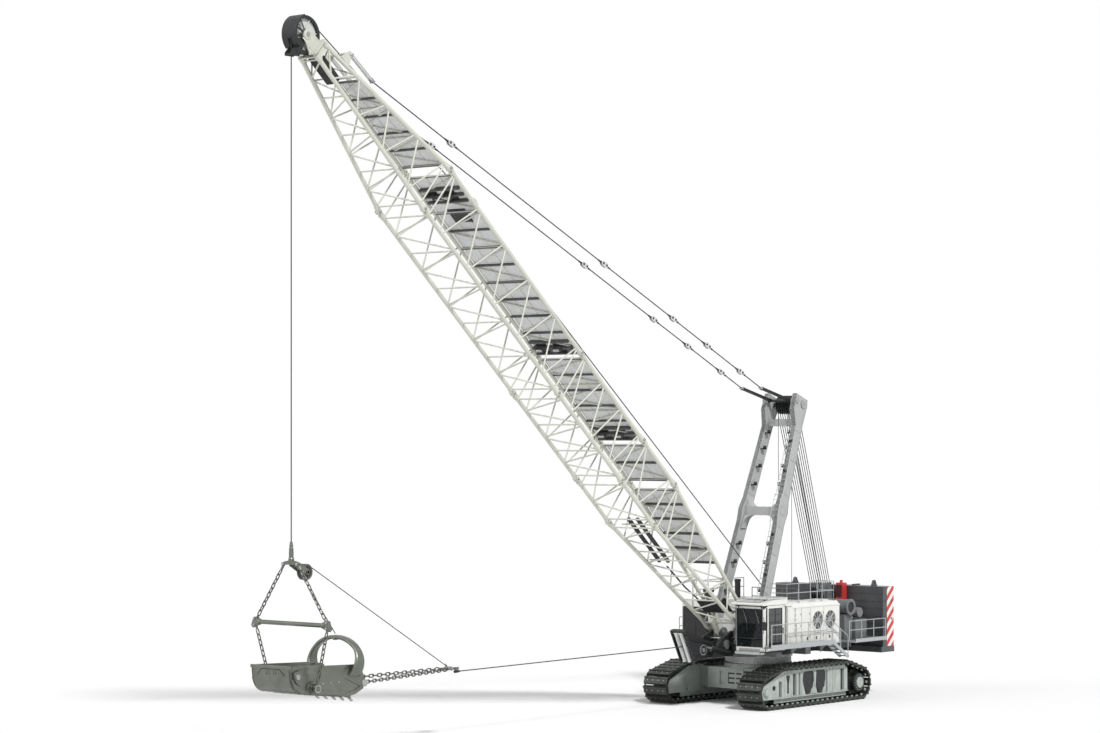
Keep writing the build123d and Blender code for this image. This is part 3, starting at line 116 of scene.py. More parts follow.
def striped(name, first, second, width):
    """Slanting warning stripes in object space, up and to the side."""
    material, tree, surface = new_material(name)
    link = tree.links.new
    put(surface, Roughness=0.4)
    place = new_node(tree, "TexCoord")
    split = new_node(tree, "SeparateXYZ")
    link(place.outputs["Object"], split.inputs["Vector"])
    slant = new_node(tree, "Math", "ADD")
    link(split.outputs["X"], slant.inputs[0])
    link(split.outputs["Z"], slant.inputs[1])
    side = new_node(tree, "Math", "SUBTRACT")
    link(slant.outputs[0], side.inputs[0])
    link(split.outputs["Y"], side.inputs[1])
    wave = new_node(tree, "Math", "PINGPONG")
    wave.inputs[1].default_value = width
    link(side.outputs[0], wave.inputs[0])
    step = new_node(tree, "Math", "GREATER_THAN")
    step.inputs[1].default_value = width / 2
    link(wave.outputs[0], step.inputs[0])
    mix = new_node(tree, "Mix")
    mix.data_type = "RGBA"
    put(mix, A=(*first, 1), B=(*second, 1))
    link(step.outputs[0], mix.inputs["Factor"])
    link(mix.outputs["Result"], surface.inputs["Base Color"])
    return material


M = {
    "boom_paint": shader("boom_paint", (0.60, 0.61, 0.54), 0.36, wear=0.10, scale=1.2),
    "mast_paint": shader("mast_paint", (0.40, 0.41, 0.41), 0.42, wear=0.10, scale=1.5),
    "house_paint": shader("house_paint", (0.74, 0.74, 0.71), 0.35, coat=0.2, wear=0.07, scale=1.2),
    "deck_paint": shader("deck_paint", (0.15, 0.16, 0.165), 0.5, wear=0.25, scale=2),
    "weight_paint": shader("weight_paint", (0.070, 0.074, 0.078), 0.35, wear=0.3, scale=2),
    "undercarriage_paint": shader("undercarriage_paint", (0.42, 0.46, 0.43), 0.45, wear=0.22, scale=2.5),
    "shoe_steel": shader(
        "shoe_steel", (0.060, 0.066, 0.058), 0.38, metal=0.6, wear=0.4, scale=5, bump=0.3
    ),
    "bucket_steel": shader(
        "bucket_steel", (0.19, 0.205, 0.175), 0.30, metal=0.85, wear=0.25, scale=1.5, bump=0.12
    ),
    "machined_steel": shader("machined_steel", (0.42, 0.43, 0.43), 0.35, metal=0.8, wear=0.15, scale=6),
    "dark_steel": shader("dark_steel", (0.035, 0.036, 0.038), 0.45, metal=0.5, wear=0.2, scale=6),
    "rope_steel": shader("rope_steel", (0.06, 0.06, 0.065), 0.5, metal=0.6, wear=0.3, scale=40),
    "grating": shader("grating", (0.22, 0.23, 0.235), 0.5, metal=0.4, wear=0.2, scale=8),
    "rail_paint": shader("rail_paint", (0.42, 0.44, 0.45), 0.4, metal=0.3, wear=0.1, scale=8),
    "seat_black": shader(
        "seat_black", (0.02, 0.02, 0.022), 0.7, wear=0.2, scale=12, bump=0.2, bump_scale=300
    ),
    "engine_grey": shader("engine_grey", (0.10, 0.105, 0.10), 0.55, wear=0.3, scale=4),
    "black": shader("black_paint", (0.012, 0.012, 0.013), 0.5, wear=0.2, scale=5),
    "red": shader("red_paint", (0.50, 0.03, 0.025), 0.35, coat=0.3, wear=0.1, scale=4),
    "lamp": shader("lamp_lens", (0.8, 0.8, 0.76), 0.15, wear=0.05, scale=20),
    "pale": shader("pale_plate", (0.62, 0.64, 0.62), 0.4, wear=0.1, scale=3),
    "chain_steel": shader("chain_steel", (0.17, 0.18, 0.165), 0.30, metal=0.8, wear=0.5, scale=9),
    # Glossy black for panes; in the door it is painted shade of the cab behind the window
    "pane_black": shader("pane_black", (0.018, 0.021, 0.024), 0.06, coat=0.6, wear=0.2, scale=1.5),
    "sheet": shader("walkway_sheet", (0.62, 0.63, 0.63), 0.45, metal=0.1, wear=0.12, scale=5),
    "stripes": striped("warning_stripes", (0.72, 0.72, 0.70), (0.50, 0.03, 0.025), 0.26),
    # Dark tint of the cab's glass: partly painted shade of the cab behind it
    "cab_window": glass("cab_window", (0.055, 0.07, 0.075)),
}

# Every carried-over solid takes the material of its slot.
for entry in frame["record"]["subparts"]:
    node = frame["nodes"][entry["node"]]
    node.data.materials.clear()
    node.data.materials.append(M[entry["material_slot"]])


def ring(point, side, other, radius, sides, shift=0.0):
    """Circle of points round a place, in the plane of two directions."""
    angles = [2 * pi * (k + shift) / sides for k in range(sides)]
    return [point + side * (radius * cos(a)) + other * (radius * sin(a)) for a in angles]


def quads(a, b, sides):
    """Faces between two rings whose points start at a and b."""
    steps = [(k, (k + 1) % sides) for k in range(sides)]
    return [[a + k, a + n, b + n, b + k] for k, n in steps]


class Builder:
    """Collects faces for one piece, in metres, with a material index for each face."""

    def __init__(self, place=None, flip=False):
        self.flip = flip
        self.points = []
        self.faces = []
        self.smooth = []
        self.slots = []
        self.place = place

    def add(self, points, faces, smooth=False, mat=0):
        """Adds faces over a list of points."""
        base = len(self.points)
        for p in points:
            self.points.append(tuple(self.place(*p)) if self.place else tuple(p))
        for face in faces:
            self.faces.append([base + i for i in (face[::-1] if self.flip else face)])
            self.smooth.append(smooth)
            self.slots.append(mat)

    def prism(self, outline, vector, mat=0):
        """Outline of points in space, moved along a vector."""
        n = len(outline)
        v = Vector(vector)
        points = [Vector(p) for p in outline] + [Vector(p) + v for p in outline]
        faces = [list(range(n))[::-1], list(range(n, 2 * n))]
        faces += [[i, (i + 1) % n, n + (i + 1) % n, n + i] for i in range(n)]
        normal = Vector()
        for i in range(n):
            normal += Vector(outline[i]).cross(Vector(outline[(i + 1) % n]))
        if normal.dot(v) < 0:
            faces = [f[::-1] for f in faces]
        self.add(points, faces, mat=mat)

    def box(self, x0, x1, y0, y1, z0, z1, mat=0):
        """Box between two places on each axis, in either order."""
        x0, x1 = min(x0, x1), max(x0, x1)
        y0, y1 = min(y0, y1), max(y0, y1)
        z0, z1 = min(z0, z1), max(z0, z1)
        self.prism([(x0, y0, z0), (x1, y0, z0), (x1, y1, z0), (x0, y1, z0)], (0, 0, z1 - z0), mat)

    def plate(self, outline, y0, y1, mat=0):
        """Outline of (x, z) points, thick along Y."""
        y0, y1 = min(y0, y1), max(y0, y1)
        self.prism([(x, y0, z) for x, z in outline], (0, y1 - y0, 0), mat)

    def wall(self, outline, x0, x1, mat=0):
        """Outline of (y, z) points, thick along X."""
        self.prism([(x0, y, z) for y, z in outline], (x1 - x0, 0, 0), mat)

    def slab(self, outline, z0, z1, mat=0):
        """Outline of (x, y) points, thick along Z."""
        self.prism([(x, y, z0) for x, y in outline], (0, 0, z1 - z0), mat)

    def close(self, first, last, mat):
        """Flat ends for a round bar."""
        corners = list(range(len(first)))
        self.add(first, [corners[::-1]], mat=mat)
        self.add(last, [corners], mat=mat)

    def tube(self, start, end, radius, sides=12, mat=0, end_radius=None, caps=True):
        """Straight round bar, which may taper."""
        start, end = Vector(start), Vector(end)
        axis = (end - start).normalized()
        side = axis.orthogonal().normalized()
        other = axis.cross(side)
        last = radius if end_radius is None else end_radius
        rings = [ring(p, side, other, r, sides, 0.5) for p, r in ((start, radius), (end, last))]
        self.add(rings[0] + rings[1], quads(0, sides, sides), sides > 6, mat)
        if caps:
            self.close(rings[0], rings[1], mat)

    def lathe(self, centre, axis, profile, sides=32, mat=0):
        """Turned shape: closed profile of (radius, place along the axis)."""
        centre, axis = Vector(centre), Vector(axis).normalized()
        side = axis.orthogonal().normalized()
        other = axis.cross(side)
        for (ra, ta), (rb, tb) in zip(profile, profile[1:] + profile[:1]):
            points = ring(centre + axis * ta, side, other, ra, sides)
            points += ring(centre + axis * tb, side, other, rb, sides)
            self.add(points, quads(0, sides, sides), True, mat)

    def turn(self, centre, axis, profile, sides=32, mat=0):
        """Turned shape that is solid up to its axis."""
        ends = [(0, profile[0][1])], [(0, profile[-1][1])]
        self.lathe(centre, axis, ends[0] + profile + ends[1], sides, mat)

    def disc(self, centre, axis, radius, height, sides=32, mat=0, inner=0):
        """Turned disc, or a ring where it has an inner radius."""
        self.lathe(centre, axis, [(inner, 0), (radius, 0), (radius, height), (inner, height)], sides, mat)

    def wheel(self, centre, radius, half, sides=32, mat=0, inner=0):
        """Turned disc or ring on a cross axis, with its place in the middle."""
        profile = [(inner, -half), (radius, -half), (radius, half), (inner, half)]
        self.lathe(centre, ACROSS, profile, sides, mat)

    def sweep(self, path, radius, sides=8, mat=0, closed=False):
        """Round bar along a path of points."""
        path = [Vector(p) for p in path]
        n = len(path)
        side = None
        rings = []
        for k, point in enumerate(path):
            before = path[(k - 1) % n] if closed or k else point
            after = path[(k + 1) % n] if closed or k < n - 1 else point
            axis = (after - before).normalized()
            side = axis.orthogonal() if side is None else side - axis * side.dot(axis)
            side.normalize()
            other = axis.cross(side)
            rings.append(ring(point, side, other, radius, sides))
        points = [p for loop in rings for p in loop]
        faces = []
        for k in range(n if closed else n - 1):
            faces += quads(k * sides, ((k + 1) % n) * sides, sides)
        self.add(points, faces, True, mat)
        if not closed:
            self.close(rings[0], rings[-1], mat)

    def bolts(self, places, axis, radius, height, mat=0):
        """Six-sided bolt heads at a list of places."""
        axis = Vector(axis).normalized()
        for place in places:
            place = Vector(place)
            self.tube(place, place + axis * height, radius, 6, mat)

    def make(self, name, body, mats, replaces=(), bevel=0.0):
        """Makes the piece with its looks, hangs it on its body and hides the nodes that it replaces."""
        mesh = bpy.data.meshes.new(name)
        mesh.from_pydata(self.points, [], self.faces)
        mesh.polygons.foreach_set("use_smooth", self.smooth)
        mesh.polygons.foreach_set("material_index", self.slots)
        for key in mats:
            mesh.materials.append(M[key])
        mesh.update()
        piece = bpy.data.objects.new(name, mesh)
        bpy.context.scene.collection.objects.link(piece)
        if bevel:
            edge = piece.modifiers.new("edge", "BEVEL")
            edge.width = bevel
            edge.segments = 2
            edge.limit_method = "ANGLE"
            edge.angle_limit = radians(40)
        if body:
            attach(piece, body)
        if replaces:
            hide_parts(*replaces)
        return piece


def around(centre, radius, count):
    """Points on a circle in the X and Z plane."""
    x, y, z = centre
    turns = [2 * pi * k / count for k in range(count)]
    return [(x + radius * cos(a), y, z + radius * sin(a)) for a in turns]


def arc(x, z, radius, degrees):
    """Points of (x, z) on an arc, at angles in degrees."""
    return [(x + radius * cos(radians(a)), z + radius * sin(radians(a))) for a in degrees]


# Boom


BOOM_ANGLE = radians(41.16)
FOOT = Vector((1.7, 0, 3.1))
ALONG = Vector((cos(BOOM_ANGLE), 0, sin(BOOM_ANGLE)))
DEEP = Vector((-sin(BOOM_ANGLE), 0, cos(BOOM_ANGLE)))
BUTT_END = 8.9
HEAD_START, HEAD_END = 27.7, 35.2
FOOT_WIDTH = 0.85
# Half depth and half width
AT_FOOT, FULL, AT_HEAD = (0.24, FOOT_WIDTH), (1.10, 1.18), (0.30, 0.40)
# Sections: name, start, end, bays
SECTIONS = (
    ("boom_butt", 0.9, 8.9, 4),
    ("boom_insert_short", 8.9, 11.75, 1),
    ("boom_insert_middle", 11.75, 17.15, 3),
    ("boom_insert_long", 17.15, 27.7, 5),
    ("boom_head", 27.7, 35.2, 4),
)
CHORD = 0.086
LACE = 0.035


def on_boom(s, y, w):
    """Point from its place along the boom, across its width and across its depth."""
    return FOOT + ALONG * s + DEEP * w + Vector((0, y, 0))


def chord_place(s):
    """Half depth and half width of the boom at a place along it."""
    first, last, part = FULL, FULL, 0
    if s < BUTT_END:
        first, part = AT_FOOT, s / BUTT_END
    elif s > HEAD_START:
        last, part = AT_HEAD, (s - HEAD_START) / (HEAD_END - HEAD_START)
    return tuple(a + (b - a) * part for a, b in zip(first, last))


def chord_at(s, top, left):
    """Place of one corner of the boom's section."""
    depth, width = chord_place(s)
    return s, left * width, top * depth


CORNERS = ((1, 1), (1, -1), (-1, -1), (-1, 1))
PANELS = (
    ((1, 1), (-1, 1), False),
    ((1, -1), (-1, -1), False),
    ((-1, 1), (-1, -1), True),
    ((1, 1), (1, -1), True),
)


def build_boom():
    """Chords with fork ends, and flat lacing, for the five sections."""
    for name, s0, s1, bays in SECTIONS:
        b = Builder(on_boom)
        first, last = s0 + 0.26, s1 - 0.26
        for top, left in CORNERS:
            b.tube(chord_at(first - 0.05, top, left), chord_at(last + 0.05, top, left), CHORD, 16)
            # Fork ends: tapered socket, lugs and the connecting pin
            for s, direction in ((s0, 1), (s1, -1)):
                socket, mouth = (chord_at(s + direction * d, top, left) for d in (0.34, 0.10))
                b.tube(socket, mouth, 0.10, 16, end_radius=0.125)
                _, y, w = chord_at(s, top, left)
                for k in (-1, 0, 1):
                    if (k == 0) == (direction > 0):
                        continue
                    root, near = s + direction * 0.12, y + k * 0.065 - 0.025
                    b.prism([
                        (root, near, w - 0.11), (root, near, w + 0.11), (s, near, w + 0.11),
                        (s, near, w - 0.11),
                    ], (0, 0.05, 0))
                if direction > 0:
                    b.box(s, s + 0.12, y - 0.03, y + 0.03, w - 0.11, w + 0.11)
        for one, other, posts in PANELS:
            for k in range(bays):
                a = first + (last - first) * k / bays
                m = first + (last - first) * (k + 0.5) / bays
                c = first + (last - first) * (k + 1) / bays
                b.tube(chord_at(a + 0.10, *one), chord_at(m - 0.05, *other), LACE, 10, caps=False)
                b.tube(chord_at(c - 0.10, *one), chord_at(m + 0.05, *other), LACE, 10, caps=False)
                if posts and k:
                    b.tube(chord_at(a, *one), chord_at(a, *other), LACE, 10, caps=False)
            for s in (first + 0.04, last - 0.04):
                b.tube(chord_at(s, *one), chord_at(s, *other), LACE, 10, caps=False)
        b.make(name + "_tubes", "boom", ["boom_paint"], [name])


# Undercarriage


TRACK_CENTRE = 2.56
SHOE_HALF = 0.66
WHEEL_X, WHEEL_Z = 3.5, 0.76
COVER_Y = 2.96
# Circles that the track follows: x, z, radius
LOOP = ((-3.5, 0.76, 0.62), (3.5, 0.76, 0.62), (2.25, 1.45, 0.25), (-2.5, 1.45, 0.25))
SHOE_PITCH = 0.38
# Openings in the cover plate: x from, x to, z from, z to
COVER_SLOTS = (
    (2.35, 2.55, 0.5, 1.18), (1.25, 1.5, 0.5, 1.45), (0.95, 1.08, 0.5, 1.45), (-1.13, -1.0, 0.5, 1.45),
    (-2.42, -2.15, 0.5, 1.45),
)
COVER_SHIELDS = ((0.33, 0.4, 0.48, 1.5), (-0.57, 0.4, 0.48, 1.5))


def mirror(side):
    """Place that swaps the left and the right side."""
    return lambda x, y, z: (x, side * y, z)


def belt_frames(circles, step):
    """Middle, heading and outward direction of each shoe round the belt."""
    runs = []
    for (ax, az, ar), (bx, bz, br) in zip(circles, circles[1:] + circles[:1]):
        heading = atan2(bz - az, bx - ax)
        normal = heading - acos((ar - br) / hypot(bx - ax, bz - az))
        across, up = cos(normal), sin(normal)
        runs.append((
            normal, (ax + ar * across, az + ar * up), (bx + br * across, bz + br * up), (bx, bz, br)
        ))
    pieces = []
    for (normal, start, end, circle), following in zip(runs, runs[1:] + runs[:1]):
        pieces.append((dist(start, end), normal, start, end, None))
        turn = (following[0] - normal) % (2 * pi)
        pieces.append((circle[2] * turn, normal, circle, None, turn))
    length = sum(piece[0] for piece in pieces)
    count = round(length / step)
    frames_found = []
    for k in range(count):
        distance = (k + 0.5) * length / count
        for span, normal, start, end, turn in pieces:
            if distance <= span:
                break
            distance -= span
        part = distance / span
        if turn is None:
            x = start[0] + (end[0] - start[0]) * part
            z = start[1] + (end[1] - start[1]) * part
            angle = normal
        else:
            angle = normal + turn * part
            x, z = start[0] + start[2] * cos(angle), start[1] + start[2] * sin(angle)
        out = Vector((cos(angle), 0, sin(angle)))
        frames_found.append((Vector((x, 0, z)), Vector((-out.z, 0, out.x)), out))
    return frames_found, length / count


def on_belt(point, along, out, side):
    """Place of a point on a shoe: along the belt, across and outwards."""
    return lambda a, y, h: point + along * a + out * h + Vector((0, side * y, 0))


def build_tracks():
    """Track shoes with plates, grousers, guides and bolts."""
    shoes, pitch = belt_frames(LOOP, SHOE_PITCH)
    half = pitch / 2 - 0.008
    low, high = TRACK_CENTRE - SHOE_HALF, TRACK_CENTRE + SHOE_HALF
    for name, side in (("l", 1), ("r", -1)):
        b = Builder(None, side > 0)
        for point, along, out in shoes:
            b.place = on_belt(point, along, out, side)
            b.box(-half, half, low, high, 0, 0.06)
            b.box(-half + 0.05, half - 0.03, low + 0.015, high - 0.015, 0.06, 0.11)
            b.box(half - 0.10, half - 0.04, low, high, 0.11, 0.14)
            b.box(-half + 0.01, -half + 0.07, low + 0.10, high - 0.10, 0.11, 0.132)
            b.box(-half - 0.02, half * 0.4, low + 0.02, low + 0.09, -0.02, 0.03)
            b.box(-half - 0.02, half * 0.4, high - 0.09, high - 0.02, -0.02, 0.03)
            for y in (-0.45, -0.16, 0.16, 0.45):
                b.tube((-0.01, TRACK_CENTRE + y, 0.11), (-0.01, TRACK_CENTRE + y, 0.13), 0.024, 6, mat=1)
            for y in (-0.52, 0.46):
                b.box(-0.055, 0.055, TRACK_CENTRE + y, TRACK_CENTRE + y + 0.06, -0.07, 0, mat=2)
        b.make(
            "track_shoes_" + name, "undercarriage",
            ["shoe_steel", "machined_steel", "undercarriage_paint"], ["track_" + name]
        )


def rim(b, x0, x1, z0, z1, y, width, rise, mat=0):
    """Raised edge round an opening in a side face."""
    b.box(x0 - width, x1 + width, y, y + rise, z0 - width, z0, mat)
    b.box(x0 - width, x1 + width, y, y + rise, z1, z1 + width, mat)
    b.box(x0 - width, x0, y, y + rise, z0, z1, mat)
    b.box(x1, x1 + width, y, y + rise, z0, z1, mat)


def build_frames():
    """Track frames' outer cover plates with their openings, hubs and bolts."""
    for name, side in (("left", 1), ("right", -1)):
        b = Builder(mirror(side), side < 0)
        for x0, x1, z0, z1 in COVER_SLOTS:
            # Thin dark plate behind each opening: painted shade inside the frame
            b.box(x0, x1, COVER_Y - 0.11, COVER_Y - 0.10, z0, z1, 1)
            rim(b, x0, x1, z0, z1, COVER_Y, 0.025, 0.012)
        for x, half, z0, z1 in COVER_SHIELDS:
            middle = (z0 + z1) / 2
            shield = [
                (x - half / 2, z0), (x + half / 2, z0), (x + half, middle), (x + half * 0.7, z1),
                (x - half * 0.7, z1), (x - half, middle),
            ]
            # Dark plate behind each shield opening: painted shade inside the frame
            b.plate(shield, COVER_Y - 0.149, COVER_Y - 0.14, 1)
            # Thin dark sheet on the face over each shield opening: painted shade of the opening
            dark = [
                (0.12, z0 + 0.02), (0.20, z0 + 0.22), (0.34, z0 + 0.30), (0.36, z0 + 0.52),
                (0.44, z0 + 0.58), (0.40, z1 - 0.10), (0.30, z1),
            ]
            right = [(x + dx, z) for dx, z in dark]
            left = [(x - dx, z) for dx, z in reversed(dark)]
            b.plate(left[-1:] + right + left[:-1], COVER_Y, COVER_Y + 0.004, 1)
            for (ax, az), (bx, bz) in zip(shield, shield[1:] + shield[:1]):
                b.tube((ax, COVER_Y - 0.02, az), (bx, COVER_Y - 0.02, bz), 0.012, 6)
        # Light casting between the shields, and its bolts
        b.plate([(-0.12, 0.52), (-0.03, 1.45), (-0.21, 1.45)], COVER_Y, COVER_Y + 0.05)
        b.plate([(-0.30, 0.50), (0.06, 0.50), (-0.02, 0.72), (-0.22, 0.72)], COVER_Y, COVER_Y + 0.035)
        # Lower and upper flanges, seams and the plate's stiffeners
        b.box(-2.68, 3.75, COVER_Y, COVER_Y + 0.06, 0.44, 0.47)
        b.box(-2.40, 2.22, COVER_Y, COVER_Y + 0.05, 1.585, 1.61)
        b.plate([(2.24, 1.585), (3.78, 1.0), (3.78, 1.03), (2.26, 1.612)], COVER_Y, COVER_Y + 0.05)
        for x in (2.1, 0.82, -1.35, -1.75):
            b.box(x, x + 0.02, COVER_Y, COVER_Y + 0.018, 0.47, 1.58)
        for x in (1.65, 1.9, -1.55):
            b.box(x, x + 0.008, COVER_Y, COVER_Y + 0.004, 0.47, 1.58, 1)
        # Funnel-shaped recess, drawn as a thin dark plate of painted shade, and idler adjuster near the
        # front
        b.plate([
            (1.72, 1.40), (2.02, 1.40), (1.93, 1.05), (1.93, 0.62), (1.81, 0.62), (1.81, 1.05)
        ], COVER_Y, COVER_Y + 0.006, 1)
        b.turn((2.92, COVER_Y, 0.92), ACROSS, [
            (0.10, 0), (0.10, 0.02), (0.05, 0.02), (0.05, 0.05)
        ], 24, 1)
        b.turn((WHEEL_X, COVER_Y, WHEEL_Z), ACROSS, [
            (0.21, 0), (0.21, 0.05), (0.15, 0.06), (0.15, 0.09)
        ], 36)
        b.bolts(around((WHEEL_X, COVER_Y + 0.05, WHEEL_Z), 0.18, 8), ACROSS, 0.018, 0.018, 1)
        # Drive hub: dark ring, light disc and bolts
        y = COVER_Y - 0.01
        b.lathe((-WHEEL_X, y, WHEEL_Z), ACROSS, [
            (0.25, 0), (0.42, 0), (0.42, 0.10), (0.38, 0.12), (0.25, 0.12)
        ], 40, 1)
        b.turn((-WHEEL_X, y, WHEEL_Z), ACROSS, [(0.25, 0.06), (0.25, 0.17), (0.20, 0.19)], 40)
        places = around((-WHEEL_X, y + 0.12, WHEEL_Z), 0.33, 18)
        b.bolts(places, ACROSS, 0.02, 0.02, 2)
        b.make(
            "track_cover_" + name, "undercarriage",
            ["undercarriage_paint", "dark_steel", "machined_steel"], bevel=0.003
        )


def build_carbody():
    """Carbody front: light panel with slots, darker panel with bolt holes, bearing bolts."""
    b = Builder()
    b.box(1.5, 1.53, -0.62, 0.30, 0.72, 1.48)
    b.box(1.5, 1.54, 0.34, 0.70, 0.80, 1.42, 1)
    for z in (0.84, 1.05, 1.26):
        b.box(1.53, 1.536, -0.50, -0.18, z, z + 0.07, 1)
        b.box(1.53, 1.536, -0.10, 0.20, z, z + 0.07, 1)
    b.box(1.53, 1.536, -0.54, -0.50, 0.84, 1.33, 1)
    for y in (0.42, 0.62):
        for z in (0.90, 1.32):
            b.tube((1.54, y, z), (1.56, y, z), 0.03, 12, mat=2)
    for k in range(72):
        angle = radians(k * 5)
        x, y = 1.48 * cos(angle), 1.48 * sin(angle)
        b.tube((x, y, 1.725), (x, y, 1.765), 0.024, 6, mat=1)
    for k in range(120):
        angle = radians(k * 3)
        x, y = 1.455 * cos(angle), 1.455 * sin(angle)
        b.tube((x, y, 1.80), (x, y, 2.02), 0.022, 6, mat=2)
    b.disc((0, 0, 2.03), UP, 1.53, 0.10, 72, 2, inner=1.44)
    b.make(
        "carbody_details", "undercarriage", ["undercarriage_paint", "dark_steel", "machined_steel"],
        bevel=0.003
    )


# Upper works


SIDE_Y = 2.75
HOUSE_X0, HOUSE_X1, HOUSE_TOP = -2.4, 1.62, 4.48
CAB_X0, CAB_X1, CAB_Y0, CAB_Z0, CAB_Z1 = 1.76, 3.33, 1.5, 2.45, 4.5
WALK_Z, WALK_OUTER = 2.7, 3.25
PORTHOLES = ((-0.68, 3.68), (-1.65, 3.68))
PORT_RADIUS = 0.43
LOUVRE_X = 1.04
# The open door reaches back to here
DOOR_SWEEP_X = 1.22
WEIGHT_X0, WEIGHT_X1, WEIGHT_Z1 = -6.45, -5.52, 4.96
WEIGHT_BASE, SLAB = 2.24, 0.34
SEAM = 0.008
STRIPE_X = -5.84
RAIL = 0.019
RAIL_HIGH = 0.88


def rails(b, path, base, height, spacing):
    """Round posts, top rail and knee rail along (x, y) points."""
    for (ax, ay), (bx, by) in zip(path, path[1:]):
        span = hypot(bx - ax, by - ay)
        count = max(1, round(span / spacing))
        for level in (height - RAIL, height * 0.52):
            b.tube((ax, ay, base + level), (bx, by, base + level), RAIL, 10)
        for k in range(count + 1):
            x, y = ax + (bx - ax) * k / count, ay + (by - ay) * k / count
            b.tube((x, y, base), (x, y, base + height - RAIL), RAIL, 10)
            b.box(x - 0.04, x + 0.04, y - 0.03, y + 0.03, base, base + 0.012)


def grate(b, x0, x1, y0, y1, z, step=0.06, mat=0):
    """Open floor grating: bars both ways in a thin frame."""
    b.box(x0, x1, y0, y0 + 0.02, z - 0.03, z, mat)
    b.box(x0, x1, y1 - 0.02, y1, z - 0.03, z, mat)
    for k in range(int((x1 - x0) / step) + 1):
        b.box(x0 + k * step, x0 + k * step + 0.012, y0, y1, z - 0.028, z, mat)
    for k in range(1, max(2, int((y1 - y0) / 0.15))):
        y = y0 + k * 0.15
        if y < y1:
            b.box(x0, x1, y, y + 0.008, z - 0.01, z - 0.002, mat)


def build_handrails():
    """Handrails on the walkways and roofs."""
    b = Builder()
    base = WALK_Z + 0.12
    rails(b, [(3.48, WALK_OUTER), (-1.10, WALK_OUTER)], base, RAIL_HIGH, 1.0)
    rails(b, [(-2.45, WALK_OUTER), (-5.35, WALK_OUTER)], WALK_Z, RAIL_HIGH, 1.0)
    rails(b, [(1.55, -WALK_OUTER), (-2.36, -WALK_OUTER)], base, RAIL_HIGH, 1.0)
    for side in (1, -1):
        y = side * (SIDE_Y - 0.26)
        rails(b, [(1.3, y), (HOUSE_X0 + 0.1, y)], HOUSE_TOP, RAIL_HIGH, 0.95)
    rails(b, [(HOUSE_X0 + 0.1, SIDE_Y - 0.26), (HOUSE_X0 + 0.1, 1.6)], HOUSE_TOP, RAIL_HIGH, 0.9)
    rails(b, [(1.3, SIDE_Y - 0.26), (1.3, 1.6)], HOUSE_TOP, RAIL_HIGH, 0.9)
    b.make("round_handrails", "upper", ["rail_paint"], ["handrails"])


def build_walkways():
    """Walkway gratings with toe boards and brackets."""
    b = Builder()
    grate(b, -1.10, 3.52, SIDE_Y + 0.03, WALK_OUTER, WALK_Z)
    grate(b, -2.4, 1.62, -WALK_OUTER, -SIDE_Y - 0.03, WALK_Z)
    for x0, x1, side in ((-1.10, 3.52, 1), (-2.4, 1.62, -1)):
        inner, outer = side * (WALK_OUTER - 0.012), side * (WALK_OUTER + 0.012)
        b.box(x0, x1, inner, outer, WALK_Z - 0.10, WALK_Z + 0.12, 1)
        near, top = side * SIDE_Y, WALK_Z - 0.03
        bracket = [(near, WALK_Z - 0.45), (near, top), (side * (WALK_OUTER - 0.1), top)]
        for x in (-0.9, 0.2, 1.3):
            b.box(x, x + 0.06, near, side * WALK_OUTER, WALK_Z - 0.13, top, 1)
            b.wall(bracket, x + 0.02, x + 0.04, 1)
    # Step in front of the cab
    grate(b, CAB_X1, CAB_X1 + 0.32, 1.4, SIDE_Y, 2.51)
    b.box(CAB_X1 + 0.30, CAB_X1 + 0.32, 1.4, SIDE_Y, 2.39, 2.51, 1)
    b.box(CAB_X1, CAB_X1 + 0.32, SIDE_Y - 0.02, SIDE_Y, 2.39, 2.51, 1)
    b.make("walkway_gratings", "upper", ["grating", "rail_paint"], ["walkways"])


def build_stair():
    """Stair up to the walkway, behind its opening, and the rear platforms."""
    b = Builder()
    for y in (SIDE_Y + 0.06, WALK_OUTER - 0.02):
        b.plate([
            (-2.42, 1.95), (-2.30, 1.95), (-1.12, 2.66), (-1.12, 2.76), (-1.24, 2.76), (-2.42, 2.06)
        ], y - 0.02, y + 0.02, 1)
    for k in range(5):
        x, z = -2.30 + k * 0.25, 2.04 + k * 0.15
        grate(b, x - 0.10, x + 0.12, SIDE_Y + 0.08, WALK_OUTER - 0.04, z, 0.05)
    for y in (SIDE_Y + 0.06, WALK_OUTER - 0.02):
        b.sweep([(-2.36, y, 2.0), (-2.36, y, 2.85), (-2.30, y, 2.95), (-1.20, y, 3.60)], RAIL, 10, 2)
        b.tube((-1.78, y, 2.35), (-1.78, y, 3.25), RAIL, 10, 2)
    grate(b, -5.45, -2.95, 1.80, WALK_OUTER, WALK_Z)
    grate(b, -5.45, -2.95, -2.85, -1.80, WALK_Z)
    for x in (-5.4, -4.2, -3.0):
        b.box(x, x + 0.06, -2.85, WALK_OUTER, WALK_Z - 0.13, WALK_Z - 0.03, 1)
    b.box(-5.45, -2.95, WALK_OUTER - 0.012, WALK_OUTER + 0.012, WALK_Z - 0.12, WALK_Z + 0.05, 1)
    b.make(
        "rear_walk_and_stair", "upper", ["grating", "rail_paint", "rail_paint"],
        ["rear_platform", "access_ladder"]
    )


